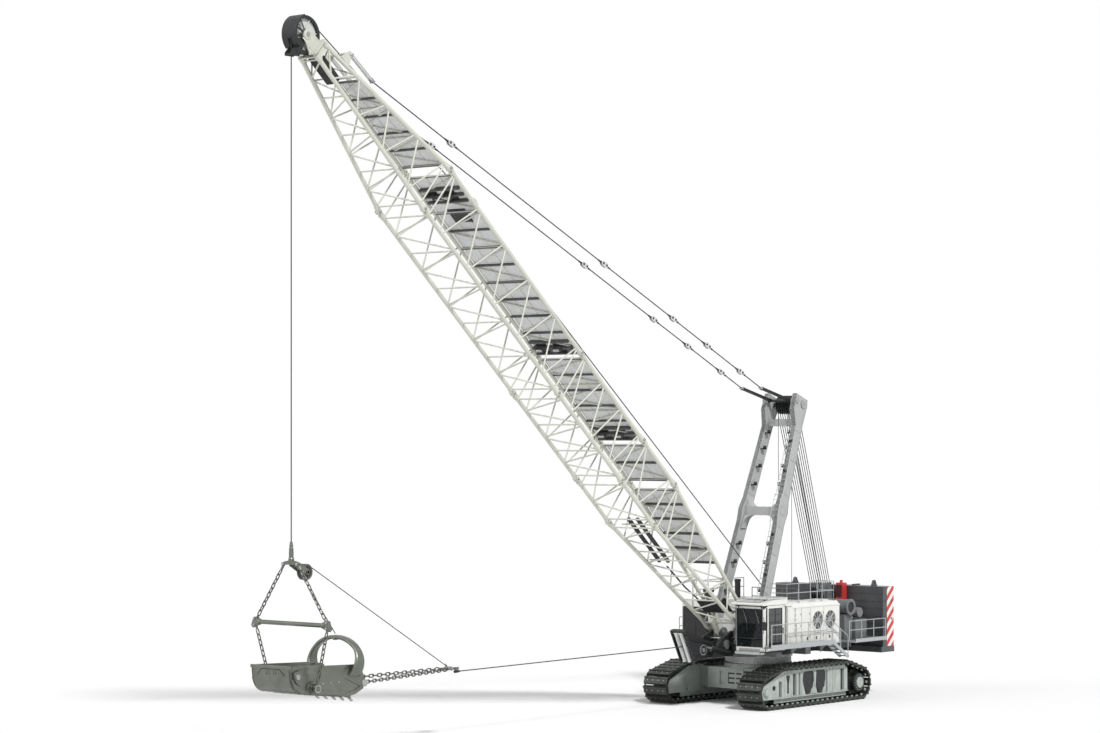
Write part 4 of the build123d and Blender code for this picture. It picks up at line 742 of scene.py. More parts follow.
def build_houses():
    """Details on the two houses: seams, fans, louvres, roof and front."""
    b = Builder()
    # Panel seams, sills, hinges and handles on the left house
    for x in (HOUSE_X1 - 0.02, 0.55, -0.12, -1.16, HOUSE_X0 + 0.02):
        b.box(x - 0.005, x + 0.005, SIDE_Y, SIDE_Y + 0.004, 2.75, HOUSE_TOP - 0.16, 1)
    b.box(HOUSE_X0, DOOR_SWEEP_X, SIDE_Y, SIDE_Y + 0.03, 2.60, 2.68)
    b.box(HOUSE_X0, DOOR_SWEEP_X, SIDE_Y, SIDE_Y + 0.025, HOUSE_TOP - 0.19, HOUSE_TOP - 0.15)
    b.box(HOUSE_X0, HOUSE_X1, SIDE_Y, SIDE_Y + 0.005, 3.05, 3.06, 1)
    for x in (0.60, -0.07, -1.11):
        for z in (2.95, 3.45, 3.95):
            b.box(x, x + 0.03, SIDE_Y, SIDE_Y + 0.022, z, z + 0.10, 2)
    for x in (0.10, -0.60, -1.62):
        b.box(x, x + 0.05, SIDE_Y, SIDE_Y + 0.03, 2.86, 2.98, 1)
        b.tube((x + 0.025, SIDE_Y + 0.03, 2.92), (x + 0.025, SIDE_Y + 0.05, 2.92), 0.012, 10, mat=2)
    # Louvre column with slanting blades
    for k in range(6):
        z = 3.05 + k * 0.22
        b.box(LOUVRE_X - 0.055, LOUVRE_X + 0.055, SIDE_Y - 0.03, SIDE_Y - 0.026, z, z + 0.15, 1)
        for j in range(3):
            zz = z + 0.02 + j * 0.045
            inner, outer = SIDE_Y - 0.025, SIDE_Y + 0.018
            blade = [(inner, zz + 0.03), (outer, zz), (outer, zz + 0.008), (inner, zz + 0.038)]
            b.wall(blade, LOUVRE_X - 0.06, LOUVRE_X + 0.06)
        rim(b, LOUVRE_X - 0.06, LOUVRE_X + 0.06, z, z + 0.15, SIDE_Y, 0.015, 0.012)
    # Round fan openings: turned rim, dark back of painted shade, blades, hub and guard
    for x, z in PORTHOLES:
        inner, outer = PORT_RADIUS - 0.03, PORT_RADIUS + 0.035
        b.lathe((x, SIDE_Y, z), ACROSS, [(inner, -0.035), (inner, 0.03), (outer, 0.03), (outer, 0)], 48)
        # Black disc behind the blades: painted shade inside the opening
        b.disc((x, SIDE_Y - 0.038, z), ACROSS, PORT_RADIUS, 0.004, 48, 1)
        for k in range(9):
            angle = k * 2 * pi / 9
            first, last = angle, angle + 0.42
            blade = ((0.10, first), (0.38, first + 0.1), (0.38, last), (0.10, last))
            corners = [(x + r * cos(a), z + r * sin(a)) for r, a in blade]
            b.plate(corners, SIDE_Y - 0.034, SIDE_Y - 0.022, 2)
        b.lathe((x, SIDE_Y - 0.034, z), ACROSS, [(0, 0), (0.11, 0), (0.10, 0.03), (0, 0.035)], 24)
        for k in range(1, 6):
            r = PORT_RADIUS * k / 6
            ringpath = around((x, SIDE_Y + 0.01, z), r, 32)
            b.sweep(ringpath, 0.005, 6, 2, closed=True)
        for k in range(4):
            angle = k * pi / 4
            dx, dz = 0.41 * cos(angle), 0.41 * sin(angle)
            b.tube((x - dx, SIDE_Y + 0.012, z - dz), (x + dx, SIDE_Y + 0.012, z + dz), 0.007, 6, 2)
        outer = SIDE_Y + 0.06
        drip = [(SIDE_Y, z - 0.50), (outer, z - 0.52), (outer, z - 0.50), (SIDE_Y, z - 0.46)]
        b.wall(drip, x - 0.30, x + 0.30)
    # Roof: hatches, filter box, exhaust and intake
    for x0, x1 in ((0.35, 1.2), (-0.8, 0.1), (-2.1, -1.1)):
        b.box(x0, x1, 1.65, 2.35, HOUSE_TOP, HOUSE_TOP + 0.05)
        b.box(x0 + 0.06, x1 - 0.06, 1.71, 2.29, HOUSE_TOP + 0.05, HOUSE_TOP + 0.065, 3)
    b.box(-0.6, 0.7, -2.5, -1.7, HOUSE_TOP, HOUSE_TOP + 0.12)
    b.tube((-1.3, -2.1, HOUSE_TOP), (-1.3, -2.1, HOUSE_TOP + 0.72), 0.13, 20, 1)
    b.disc((-1.3, -2.1, HOUSE_TOP + 0.72), UP, 0.15, 0.12, 24, 1, inner=0.12)
    cowl = [(0, 0), (0.2, 0), (0.2, 0.32), (0.26, 0.36), (0.26, 0.46), (0, 0.5)]
    b.lathe((0.9, -2.1, HOUSE_TOP), UP, cowl, 28, 1)
    # Right house: seams, doors and louvres on its outer and front faces
    for x in (1.6, 0.6, -0.4, -1.4):
        b.box(x - 0.005, x + 0.005, -SIDE_Y - 0.004, -SIDE_Y, 2.75, HOUSE_TOP - 0.16, 1)
    b.box(2.0, 2.02, -2.68, -1.30, 2.78, 4.22, 1)
    for k in range(19):
        z = 2.84 + k * 0.07
        b.box(2.02, 2.032, -2.62, -1.36, z, z + 0.018, 4)
    for y in (-2.66, -2.0, -1.34):
        b.box(2.02, 2.036, y - 0.02, y + 0.02, 2.80, 4.20, 4)
    for k in range(8):
        z = 3.1 + k * 0.12
        b.box(-0.1, 0.5, -SIDE_Y - 0.02, -SIDE_Y, z, z + 0.03, 1)
        b.box(-1.2, -0.6, -SIDE_Y - 0.02, -SIDE_Y, z, z + 0.03, 1)
    b.make(
        "house_details", "upper", ["house_paint", "black", "machined_steel", "pale", "dark_steel"],
        bevel=0.002
    )


BAY_Y = 1.20
# The canopy keeps clear of the raised boom's butt from here outwards
CANOPY_INNER = 1.09


def build_cab():
    """Cab's frame, panes and inside."""
    b = Builder()
    y0, y1, z0, z1 = BAY_Y, SIDE_Y, CAB_Z0, CAB_Z1
    fx, rx, wall = CAB_X1, CAB_X0, 0.05
    # The bay towards the boom starts ahead of the foot brackets.
    bay_x = 2.34
    plan = [(rx, CAB_Y0), (bay_x, CAB_Y0), (bay_x, y0), (fx, y0), (fx, y1), (rx, y1)]
    # Floor, roof, posts and lower panels; the big windows are left open for the panes
    b.slab(plan, z0, z0 + 0.06)
    b.slab(plan, z1 - 0.06, z1)
    b.box(fx - wall, fx, y0, y1, z0, z0 + 0.24)
    b.box(fx - wall, fx, y0, y0 + 0.07, z0 + 0.24, z1)
    b.box(fx - wall, fx, y1 - 0.09, y1, z0 + 0.24, z1)
    b.box(fx - wall, fx, y0, y1, z1 - 0.15, z1)
    b.box(rx + 0.30, rx + 0.36, y1 - wall, y1, z0, z1)
    b.box(rx, rx + 0.30, y1 - wall, y1, z0, z1)
    b.box(fx - 0.25, fx - wall, y1 - wall, y1, z0, z0 + 0.30)
    b.box(fx - 0.12, fx - wall, y1 - wall, y1, z0, z1)
    b.box(rx + 0.30, fx - 0.25, y1 - wall, y1, z0, z0 + 0.16)
    b.box(rx + 0.30, fx - 0.05, y1 - wall, y1, z1 - 0.11, z1)
    b.box(bay_x, fx, y0, y0 + wall, z0, z0 + 0.75)
    b.box(bay_x, bay_x + 0.08, y0, y0 + wall, z0, z1)
    b.box(fx - 0.08, fx, y0, y0 + wall, z0, z1)
    b.box(bay_x, fx, y0, y0 + wall, z1 - 0.15, z1)
    b.box(bay_x, bay_x + wall, y0, CAB_Y0, z0, z1)
    b.box(rx, bay_x, CAB_Y0, CAB_Y0 + wall, z0, z1)
    b.box(rx, rx + wall, CAB_Y0, y1, z0, z0 + 1.1)
    b.box(rx, rx + wall, CAB_Y0, CAB_Y0 + 0.2, z0 + 1.1, z1)
    b.box(rx, rx + wall, y1 - 0.2, y1, z0 + 1.1, z1)
    b.box(rx, rx + wall, CAB_Y0, y1, z1 - 0.11, z1)
    # Door runner
    b.box(rx - 0.51, fx - 0.19, y1 - 0.005, y1 + 0.05, z1 - 0.0597, z1 - 0.02)
    # Dark lining inside: painted shade of the cab's inside, seen through the panes
    b.slab([(x - 0.02 if x > 3 else x + 0.02, y) for x, y in plan], z0 + 0.061, z0 + 0.07, 1)
    b.box(rx + wall, rx + wall + 0.01, CAB_Y0 + wall, y1 - wall, z0 + 0.07, z0 + 1.1, 1)
    b.box(rx + wall, bay_x, CAB_Y0 + wall, CAB_Y0 + wall + 0.01, z0 + 0.07, z1 - 0.06, 1)
    b.box(bay_x + wall, fx - wall, y0 + wall, y0 + wall + 0.01, z0 + 0.07, z0 + 0.75, 1)
    b.box(rx + wall, rx + 0.36, y1 - wall - 0.01, y1 - wall, z0 + 0.07, z1 - 0.06, 1)
    b.slab([(x - 0.06 if x > 3 else x + 0.06, y) for x, y in plan], z1 - 0.075, z1 - 0.061, 1)
    b.box(fx, fx + 0.012, y0 + 0.1, y1 - 0.12, z0 + 0.05, z0 + 0.2)
    b.make("cab_frame", "upper", ["house_paint", "black"], ["cab_shell"], bevel=0.004)
    b = Builder()
    # Panes: windscreen, bay side, rear
    lo, hi, zl, zh = y0 + 0.07, y1 - 0.09, z0 + 0.24, z1 - 0.15
    b.box(fx - 0.03, fx - 0.02, lo, hi, zl, zh)
    b.box(bay_x + 0.08, fx - 0.08, y0 + 0.02, y0 + 0.028, z0 + 0.75, z1 - 0.15)
    b.box(rx + 0.02, rx + 0.028, CAB_Y0 + 0.2, y1 - 0.2, z0 + 1.1, z1 - 0.11)
    b.box(fx - 0.25, fx - 0.12, y1 - 0.03, y1 - 0.022, z0 + 0.30, z1 - 0.11)
    b.make("cab_panes", "upper", ["cab_window"], ["cab_glass"])
    b = Builder()
    # Rubber seals round the windscreen, its bars, wipers and lower vents
    for span in (
        (lo, hi, zl, zl + 0.02), (lo, hi, zh - 0.02, zh), (lo, lo + 0.02, zl, zh), (hi - 0.02, hi, zl, zh)
    ):
        b.box(fx - 0.03, fx + 0.010, *span, 1)
    b.box(fx - 0.02, fx + 0.012, lo, hi, 3.05, 3.075, 1)
    for y in (lo + 0.35, lo + 1.0):
        b.tube((fx + 0.03, y, zh - 0.02), (fx + 0.04, y + 0.22, zh - 0.62), 0.012, 8, 2)
        b.box(fx + 0.018, fx + 0.03, y + 0.20, y + 0.225, zh - 0.98, zh - 0.28, 1)
        b.disc((fx, y, zh - 0.02), (1, 0, 0), 0.03, 0.04, 14, 1)
    for k in range(3):
        z = z0 + 0.075 + k * 0.04
        b.box(fx + 0.012, fx + 0.016, lo + 0.12, hi - 0.15, z, z + 0.015, 1)
    # Inside: console, screens, levers and pedals
    b.box(2.95, 3.18, 1.35, 1.75, z0 + 0.07, z0 + 0.75, 1)
    b.box(2.90, 2.96, 1.40, 1.75, z0 + 0.80, z0 + 1.05, 1)
    for y in (1.78, 2.47):
        b.box(2.2, 2.75, y - 0.07, y + 0.07, z0 + 0.07, z0 + 0.72, 1)
        b.tube((2.62, y, z0 + 0.72), (2.66, y, z0 + 0.90), 0.012, 8, 2)
        b.lathe((2.66, y, z0 + 0.90), UP, [
            (0, 0), (0.028, 0), (0.03, 0.06), (0.018, 0.10), (0, 0.105)
        ], 14, 1)
    for y in (2.0, 2.25):
        b.plate([
            (2.95, z0 + 0.10), (3.12, z0 + 0.24), (3.14, z0 + 0.22), (2.98, z0 + 0.08)
        ], y - 0.06, y + 0.06, 2)
    # Mirror, grab rails and work lamps under the canopy's lip
    near, far = fx + 0.02, fx + 0.22
    arm = [(near, y1 - 0.03, 3.3), (far, y1 + 0.12, 3.35), (far, y1 + 0.14, 3.9), (near, y1 - 0.03, 4.0)]
    b.sweep(arm, 0.012, 8, 1)
    b.box(fx + 0.20, fx + 0.24, y1 + 0.05, y1 + 0.24, 3.45, 3.82, 1)
    rail = ((0.01, 2.9), (0.07, 2.95), (0.07, 3.9), (0.01, 3.95))
    b.sweep([(fx + dx, y0 + 0.04, z) for dx, z in rail], 0.014, 8, 2)
    for y in (y0 + 0.16, y1 - 0.16):
        b.lathe((fx + 0.02, y, 4.42), (1, 0, -0.2), [
            (0, 0), (0.045, 0), (0.055, 0.05), (0.055, 0.08), (0, 0.075)
        ], 20, 1)
        b.lathe((fx + 0.10, y, 4.405), (1, 0, -0.2), [(0, 0), (0.05, 0), (0, 0.01)], 20, 3)
    b.make("cab_details", "upper", ["house_paint", "black", "machined_steel", "lamp"], bevel=0.002)


def build_canopy():
    """Low canopy over the cab and the bay, with a dark roof pane and a raised rear edge."""
    b = Builder()
    rx = CAB_X0
    outline = [
        (rx - 0.06, 4.5003), (3.51, 4.5003), (3.53, 4.55), (3.45, 4.60), (2.75, 4.70), (rx - 0.06, 4.72)
    ]
    b.plate(outline, CANOPY_INNER, SIDE_Y + 0.06)
    b.prism([
        (3.36, 1.25, 4.616), (3.36, 2.50, 4.616), (2.78, 2.50, 4.699), (2.78, 1.25, 4.699)
    ], (0, 0, 0.008), 1)
    b.box(rx + 0.05, 2.70, 1.25, 2.55, 4.712, 4.726, 1)
    for y in (1.30, 1.70, 2.10, 2.50):
        b.box(rx - 0.02, 2.72, y - 0.015, y + 0.015, 4.715, 4.76)
    b.box(rx - 0.06, rx + 0.04, CANOPY_INNER, SIDE_Y + 0.06, 4.72, 4.80)
    b.make("canopy_low", "upper", ["house_paint", "pane_black"], ["cab_roof"], bevel=0.012)


def build_door():
    """Door: frame, dark pane of painted shade, handle, seals and bars."""
    b = Builder()
    dx0, dx1 = CAB_X0 + 0.24, CAB_X1 - 0.19
    dz0, dz1 = CAB_Z0 + 0.10, CAB_Z1 - 0.06
    near, outer = SIDE_Y + 0.006, SIDE_Y + 0.046
    edge = 0.06
    b.box(dx0, dx1, near, outer, dz0, dz0 + 0.12)
    b.box(dx0, dx1, near, outer, dz1 - 0.07, dz1)
    b.box(dx0, dx0 + edge, near, outer, dz0 + 0.12, dz1 - 0.07)
    b.box(dx1 - edge, dx1, near, outer, dz0 + 0.12, dz1 - 0.07)
    # Dark pane: painted shade of the cab seen through the door's window
    b.box(dx0 + edge, dx1 - edge, near + 0.016, near + 0.024, dz0 + 0.12, dz1 - 0.07, 2)
    b.box(dx0 + 0.015, dx0 + 0.045, outer, outer + 0.03, 3.25, 3.50, 1)
    rim(b, dx0 + edge + 0.02, dx1 - edge - 0.02, dz0 + 0.14, dz1 - 0.09, outer - 0.016, 0.018, 0.018, 1)
    for k in range(5):
        z = 2.95 + k * 0.28
        b.box(dx0 + edge, dx1 - edge, outer - 0.012, outer - 0.002, z, z + 0.014, 1)
    middle = (dx0 + dx1) / 2
    b.box(middle - 0.01, middle + 0.01, outer - 0.014, outer - 0.002, dz0 + 0.12, dz1 - 0.07, 1)
    b.make("door_framed", "cab_door", ["house_paint", "black", "pane_black"], ["cab_door"], bevel=0.002)


# Winches: x, z, half length, radius of the drum and of its flanges
WINCHES = ((-0.25, 3.33, 0.9, 0.42, 0.62), (-1.85, 3.33, 0.9, 0.42, 0.62), (-3.5, 3.18, 0.7, 0.33, 0.48))
CROSS_WALK_Z = 4.15


def coil(b, x, z, half, radius, rope):
    """Rope wound side by side on a drum."""
    turns = int((2 * half - 0.16) / (2 * rope))
    profile = []
    for k in range(turns):
        y = -half + 0.08 + k * 2 * rope
        profile += [(radius, y), (radius + rope * 1.4, y + rope)]
    profile += [(radius, half - 0.08), (radius - 0.02, half - 0.08), (radius - 0.02, -half + 0.08)]
    b.lathe((x, 0, z), ACROSS, profile, 40)


def build_drum_ropes():
    """Rope wound on the winch drums."""
    b = Builder()
    for x, z, half, radius, _ in WINCHES:
        coil(b, x, z, half, radius, 0.02)
    b.make("rope_on_drums", "upper", ["rope_steel"])


def build_deck_machinery():
    """Drum flange bolts, gear housings and cross walk over the winches."""
    b = Builder()
    for x, z, half, _, flange in WINCHES:
        for side in (-1, 1):
            y = side * half
            for bolt_x, _, bolt_z in around((x, y, z), flange * 0.86, 16):
                b.tube((bolt_x, y, bolt_z), (bolt_x, y - side * 0.012, bolt_z), 0.016, 6, mat=2)
            b.turn(
                (x, side * (half + 0.085), z), (0, side, 0), [(0.26, 0), (0.26, 0.10), (0.20, 0.14)], 28
            )
    for x in (-1.05, -2.75):
        b.box(x - 0.05, x + 0.05, -1.3, 1.3, 2.6, 2.72)
    grate(b, -1.25, -0.85, -1.25, 1.25, CROSS_WALK_Z, mat=1)
    for y in (-1.25, 1.25):
        b.box(-1.27, -0.83, y - 0.02, y + 0.02, 2.6, CROSS_WALK_Z)
    rails(b, [(-1.25, -1.25), (-1.25, 1.25)], CROSS_WALK_Z, 0.85, 0.8)
    # Boxes, tanks, duct and pipes on the rear deck
    b.box(-3.15, -2.65, 0.95, 1.08, 2.6, 3.9)
    b.box(-4.75, -4.05, 0.55, 1.05, 2.6, 3.5)
    b.box(-4.75, -4.05, -1.05, -0.55, 2.6, 3.7)
    b.tube((-3.31, 1.2, 4.14), (-3.31, 2.70, 4.14), 0.34, 36)
    b.disc((-3.31, 2.70, 4.14), ACROSS, 0.37, 0.05, 36, inner=0.24)
    # Thin black disc over the duct's mouth: painted shade inside the duct
    b.lathe((-3.31, 2.705, 4.14), ACROSS, [(0, 0), (0.25, 0), (0, 0.004)], 36, 3)
    b.box(-3.6, -3.0, 1.78, 2.60, 2.72, 3.80)
    b.box(-4.7, -3.8, 1.85, 2.65, 2.72, 3.55)
    b.tube((-4.25, 1.9, 3.85), (-4.25, 2.6, 3.85), 0.22, 28, 1)
    for k in range(5):
        y = 0.5 + k * 0.11
        b.sweep([
            (-2.55, y, 4.0), (-2.9, y, 4.05), (-3.4, y, 3.95), (-4.1, y, 3.95), (-4.5, y, 3.6)
        ], 0.022, 8, 3)
    b.make("deck_machinery", "upper", ["deck_paint", "grating", "machined_steel", "black"], bevel=0.004)


def build_red_unit():
    """Red unit beside the rear sheave block, with fins and a lamp."""
    b = Builder()
    b.box(-5.42, -5.06, 0.72, 1.08, 4.35, 5.10)
    for k in range(5):
        b.box(-5.055, -5.04, 0.76 + k * 0.065, 0.80 + k * 0.065, 4.45, 5.0, 1)
    b.tube((-5.24, 0.9, 5.10), (-5.24, 0.9, 5.22), 0.07, 20)
    b.box(-5.35, -5.12, 0.78, 1.02, 2.6, 4.35, 2)
    b.make("red_unit", "upper", ["red", "black", "deck_paint"], bevel=0.006)


def build_counterweight():
    """Stripes, slab seams and small fittings of the counterweight."""
    b = Builder()
    # Stripes on the rear corners
    rear = WEIGHT_X0 + 0.06
    for side in (1, -1):
        b.box(rear, STRIPE_X, side * 3.0, side * 3.006, 2.25, WEIGHT_Z1)
    for side in (1, -1):
        b.box(WEIGHT_X0 + 0.054, rear, side * 2.70, side * 3.0, 2.25, WEIGHT_Z1)
    b.make("weight_stripes", "upper", ["stripes"])
    b = Builder()
    for side in (1, -1):
        for k in range(1, 8):
            z = WEIGHT_BASE + k * SLAB
            b.box(STRIPE_X, WEIGHT_X1, side * 3.0, side * 3.004, z - SEAM, z + SEAM, 1)
            b.box(WEIGHT_X1, WEIGHT_X1 + 0.004, 0, side * 2.98, z - SEAM, z + SEAM, 1)
        for k in range(8):
            z = WEIGHT_BASE + k * SLAB
            b.box(WEIGHT_X1, WEIGHT_X1 + 0.02, side * 1.9 - 0.10, side * 1.9 + 0.10, z + 0.06, z + 0.16)
            b.box(WEIGHT_X1, WEIGHT_X1 + 0.03, side * 0.9 - 0.05, side * 0.9 + 0.05, z + 0.02, z + 0.32)
            b.tube((rear, side * 1.6, z + 0.17), (WEIGHT_X0 + 0.02, side * 1.6, z + 0.17), 0.07, 20)
        for x in (-6.2, -5.75):
            for z in (3.5, 4.3):
                b.tube((x, side * 2.97, z), (x, side * 3.02, z), 0.05, 18)
        for y in (0.4, 1.2):
            b.box(-6.3, -5.7, side * y - 0.03, side * y + 0.03, WEIGHT_Z1, WEIGHT_Z1 + 0.07)
    b.make("weight_details", "upper", ["weight_paint", "black"], bevel=0.006)


FAIRLEAD_X, FAIRLEAD_Z = 5.53, 2.73


def build_fairlead():
    """Light double rollers in a dark housing with bearing blocks."""
    b = Builder()
    lean = radians(27.7)

    def leaning(a, y, ahead):
        x = FAIRLEAD_X + a * sin(lean) + ahead * cos(lean)
        return x, y, FAIRLEAD_Z + a * cos(lean) - ahead * sin(lean)

    for side in (1, -1):
        y = side * 0.1323
        b.turn(leaning(-0.72, y, 0), (sin(lean), 0, cos(lean)), [
            (0.108, 0), (0.108, 0.04), (0.09, 0.08), (0.09, 1.36), (0.108, 1.40), (0.108, 1.44)
        ], 32)
        for a in (-0.72, 0.66):
            b.tube(leaning(a, side * 0.30, 0.05), leaning(a + 0.06, side * 0.30, 0.05), 0.03, 12, mat=1)
    for a in (-0.775, 0.725):
        for y in (-0.132, 0.132):
            b.tube(leaning(a, y, 0), leaning(a + 0.05, y, 0), 0.07, 20, mat=1)
    b.make("fairlead_drums", "upper", ["pale", "dark_steel"], ["fairlead_rollers"], bevel=0.004)
    b = Builder()
    low, high = 0.331, 0.39
    for side in (1, -1):
        bent = ((-0.80, -0.16), (-0.80, 0.06), (0.80, 0.06), (0.80, -0.10), (0.45, -0.35))
        outline = [(2.71, 2.19), (4.3, 2.21)]
        outline += [leaning(a, 0, ahead)[::2] for a, ahead in bent]
        b.plate(outline + [(3.6, 2.75), (2.71, 3.0)], side * low, side * high)
        face = side * high
        for a in (-0.62, 0.62):
            x, _, z = leaning(a, 0, -0.03)
            b.disc((x, face, z), (0, side, 0), 0.07, 0.02, 20)
        for px, pz, r in ((4.6, 2.55, 0.24), (3.9, 2.5, 0.19)):
            b.disc((px, face, pz), (0, side, 0), r, 0.03, 32, 1, inner=r - 0.05)
            b.disc((px, face, pz), (0, side, 0), r * 0.4, 0.05, 24, 1)
        rib = face, face + side * 0.04
        b.plate([(2.75, 2.25), (5.1, 2.28), (5.1, 2.33), (2.75, 2.30)], *rib)
        b.plate([(2.75, 2.92), (3.6, 2.68), (5.55, 3.05), (5.55, 3.10), (3.6, 2.73), (2.75, 2.97)], *rib)
        b.bolts([
            leaning(-0.7 + k * 0.2, side * high, 0.03) for k in range(8)
        ], (0, side, 0), 0.014, 0.014, 1)
    for a in (-0.80, 0.74):
        corners = ((a, -0.14), (a, 0.06), (a + 0.06, 0.06), (a + 0.06, -0.14))
        b.prism([leaning(up, -0.33, ahead) for up, ahead in corners], (0, 0.66, 0))
    b.box(2.71, 3.1, -0.33, 0.33, 2.19, 2.45)
    b.box(3.9, 3.98, -0.33, 0.33, 2.25, 2.6)
    b.make("fairlead_housing", "upper", ["dark_steel", "machined_steel"], ["fairlead_frame"], bevel=0.006)


def build_front_structure():
    """Dark structure behind the fairlead: side boxes, cross tubes, sheaves, cylinders and hoses."""
    b = Builder()
    for side in (1, -1):
        b.plate([
            (2.71, 2.2), (4.1, 2.2), (4.1, 2.45), (3.4, 3.05), (2.71, 3.3)
        ], side * 0.45, side * 0.60)
        b.turn((3.2, side * 0.61, 2.72), (0, side, 0), [(0.2, 0), (0.2, 0.05), (0.08, 0.06)], 30, 1)
        b.tube((2.9, side * 0.74, 2.35), (4.3, side * 0.62, 2.62), 0.07, 20)
        b.tube((3.6, side * 0.68, 2.48), (4.6, side * 0.60, 2.68), 0.04, 16, 1)
        b.box(2.72, 2.95, side * 0.70, side * 1.12, 2.3, 2.75)
        for k in range(3):
            y = side * (0.72 + k * 0.09)
            b.sweep([
                (2.9, y, 2.62), (3.1, y, 2.80), (3.05, y, 3.0), (2.6, y, 3.05), (2.35, y, 2.85)
            ], 0.022, 8, 0)
    for x, z in ((2.9, 2.95), (3.35, 2.55), (3.9, 2.36)):
        b.tube((x, -0.46, z), (x, 0.46, z), 0.05, 20, 1)
    for y in (-0.09, 0.09):
        b.lathe((3.95, y, 2.62), ACROSS, [
            (0.05, -0.04), (0.30, -0.04), (0.26, 0), (0.30, 0.04), (0.05, 0.04)
        ], 36, 1)
    b.make("front_structure", "upper", ["dark_steel", "machined_steel"], bevel=0.004)
    b = Builder()
    b.sweep([(5.2, 0, 2.74), (2.5, 0, 2.86), (-0.25, 0, 2.90)], 0.022, 8)
    b.make("drag_rope_on_deck", "upper", ["rope_steel"])


# Boom fittings, mast and ropes


WALKWAY_RUNS = ((3.9, 8.9), (8.9, 11.75), (11.75, 17.15), (17.15, 27.7), (27.7, 33.3))
ROLLER_PLACES = (12.25, 17.6, 26.4)
GUIDE_S, GUIDE_W = 25.2, 1.61
GUIDE_RADIUS = 0.30
SHEAVE_S, SHEAVE_W = 35.8, 0.1
SHIELD_IN, SHIELD_OUT, SHIELD_HALF = 0.75, 0.768, 0.36
MAST_HEAD = Vector((-2.2, 0, 13.25))
MAST_FOOT_Y, MAST_HEAD_Y = 1.21, 0.78
LEG_HALF = 0.105
PENDANT_S, PENDANT_Y = 34.0, 0.53
BAR_DEEP = (0, 0.038, 0)
# Outline of a pendant joint's cheek: along and across the rope
CHEEK = (
    (-0.20, -0.05), (-0.13, -0.10), (0.13, -0.10), (0.20, -0.05),
    (0.20, 0.05), (0.13, 0.10), (-0.13, 0.10), (-0.20, 0.05),
)
ROPE = 0.022


def build_feet():
    """Plated feet with 5 mm free at the brackets, a bushed bore and edge ribs."""
    b = Builder(on_boom)
    depth = chord_place(0.9)[0]
    reach = depth + 0.12
    for side in (1, -1):
        middle = side * FOOT_WIDTH
        outline = [(0.9, -reach), (0.9, reach)]
        outline += arc(0, 0, 0.24, range(90, 271, 15))
        # Two half plates that meet over the bore
        bore = arc(0, 0, 0.1102, range(0, 181, 15))
        upper = [(0.9, 0), (0.9, reach)] + outline[2:9] + bore[::-1]
        lower = [(s, -w) for s, w in upper]
        for half in (upper, lower):
            b.plate(half, middle - 0.10, middle + 0.10)
        for out in (-1, 1):
            b.disc((0, middle + out * 0.10, 0), (0, out, 0), 0.18, 0.004, 32, inner=0.112)
        b.box(0.35, 0.9, middle - 0.102, middle + 0.102, -0.02, 0.02)
    b.make("boom_feet_plated", "boom", ["boom_paint"], ["boom_feet"], bevel=0.004)


def build_boom_walkway():
    """Fine light slats on dark cross beams, with two pale seams along them."""
    b = Builder(on_boom)
    for s0, s1 in WALKWAY_RUNS:
        first, last = s0 + 0.30, s1 - 0.30
        count = int((last - first) / 0.062)
        for k in range(count):
            s = first + (last - first) * (k + 0.5) / count
            depth, width = chord_place(s)
            edge = width - 0.13
            b.box(s - 0.021, s + 0.021, -edge, edge, depth + 0.05, depth + 0.065)
        beams = max(2, round((last - first) / 0.95))
        for k in range(beams + 1):
            s = first + (last - first) * k / beams
            depth, width = chord_place(s)
            edge = width - 0.10
            b.box(s - 0.024, s + 0.024, -edge, edge, depth - 0.05, depth + 0.045, 1)
        for part, mat, half in ((-1, 0, 0.015), (-0.34, 2, 0.008), (0.34, 2, 0.008), (1, 0, 0.015)):
            pair = []
            for s in (first, last):
                depth, width = chord_place(s)
                pair.append((s, part * (width - 0.14), depth + 0.035))
            (sa, ya, wa), (sb, yb, wb) = pair
            strip = [(sa, ya - half, wa), (sb, yb - half, wb), (sb, yb + half, wb), (sa, ya + half, wa)]
            b.prism(strip, (0, 0, 0.04), mat)
    b.make("boom_gratings", "boom", ["sheet", "engine_grey", "boom_paint"], ["boom_walkway"])


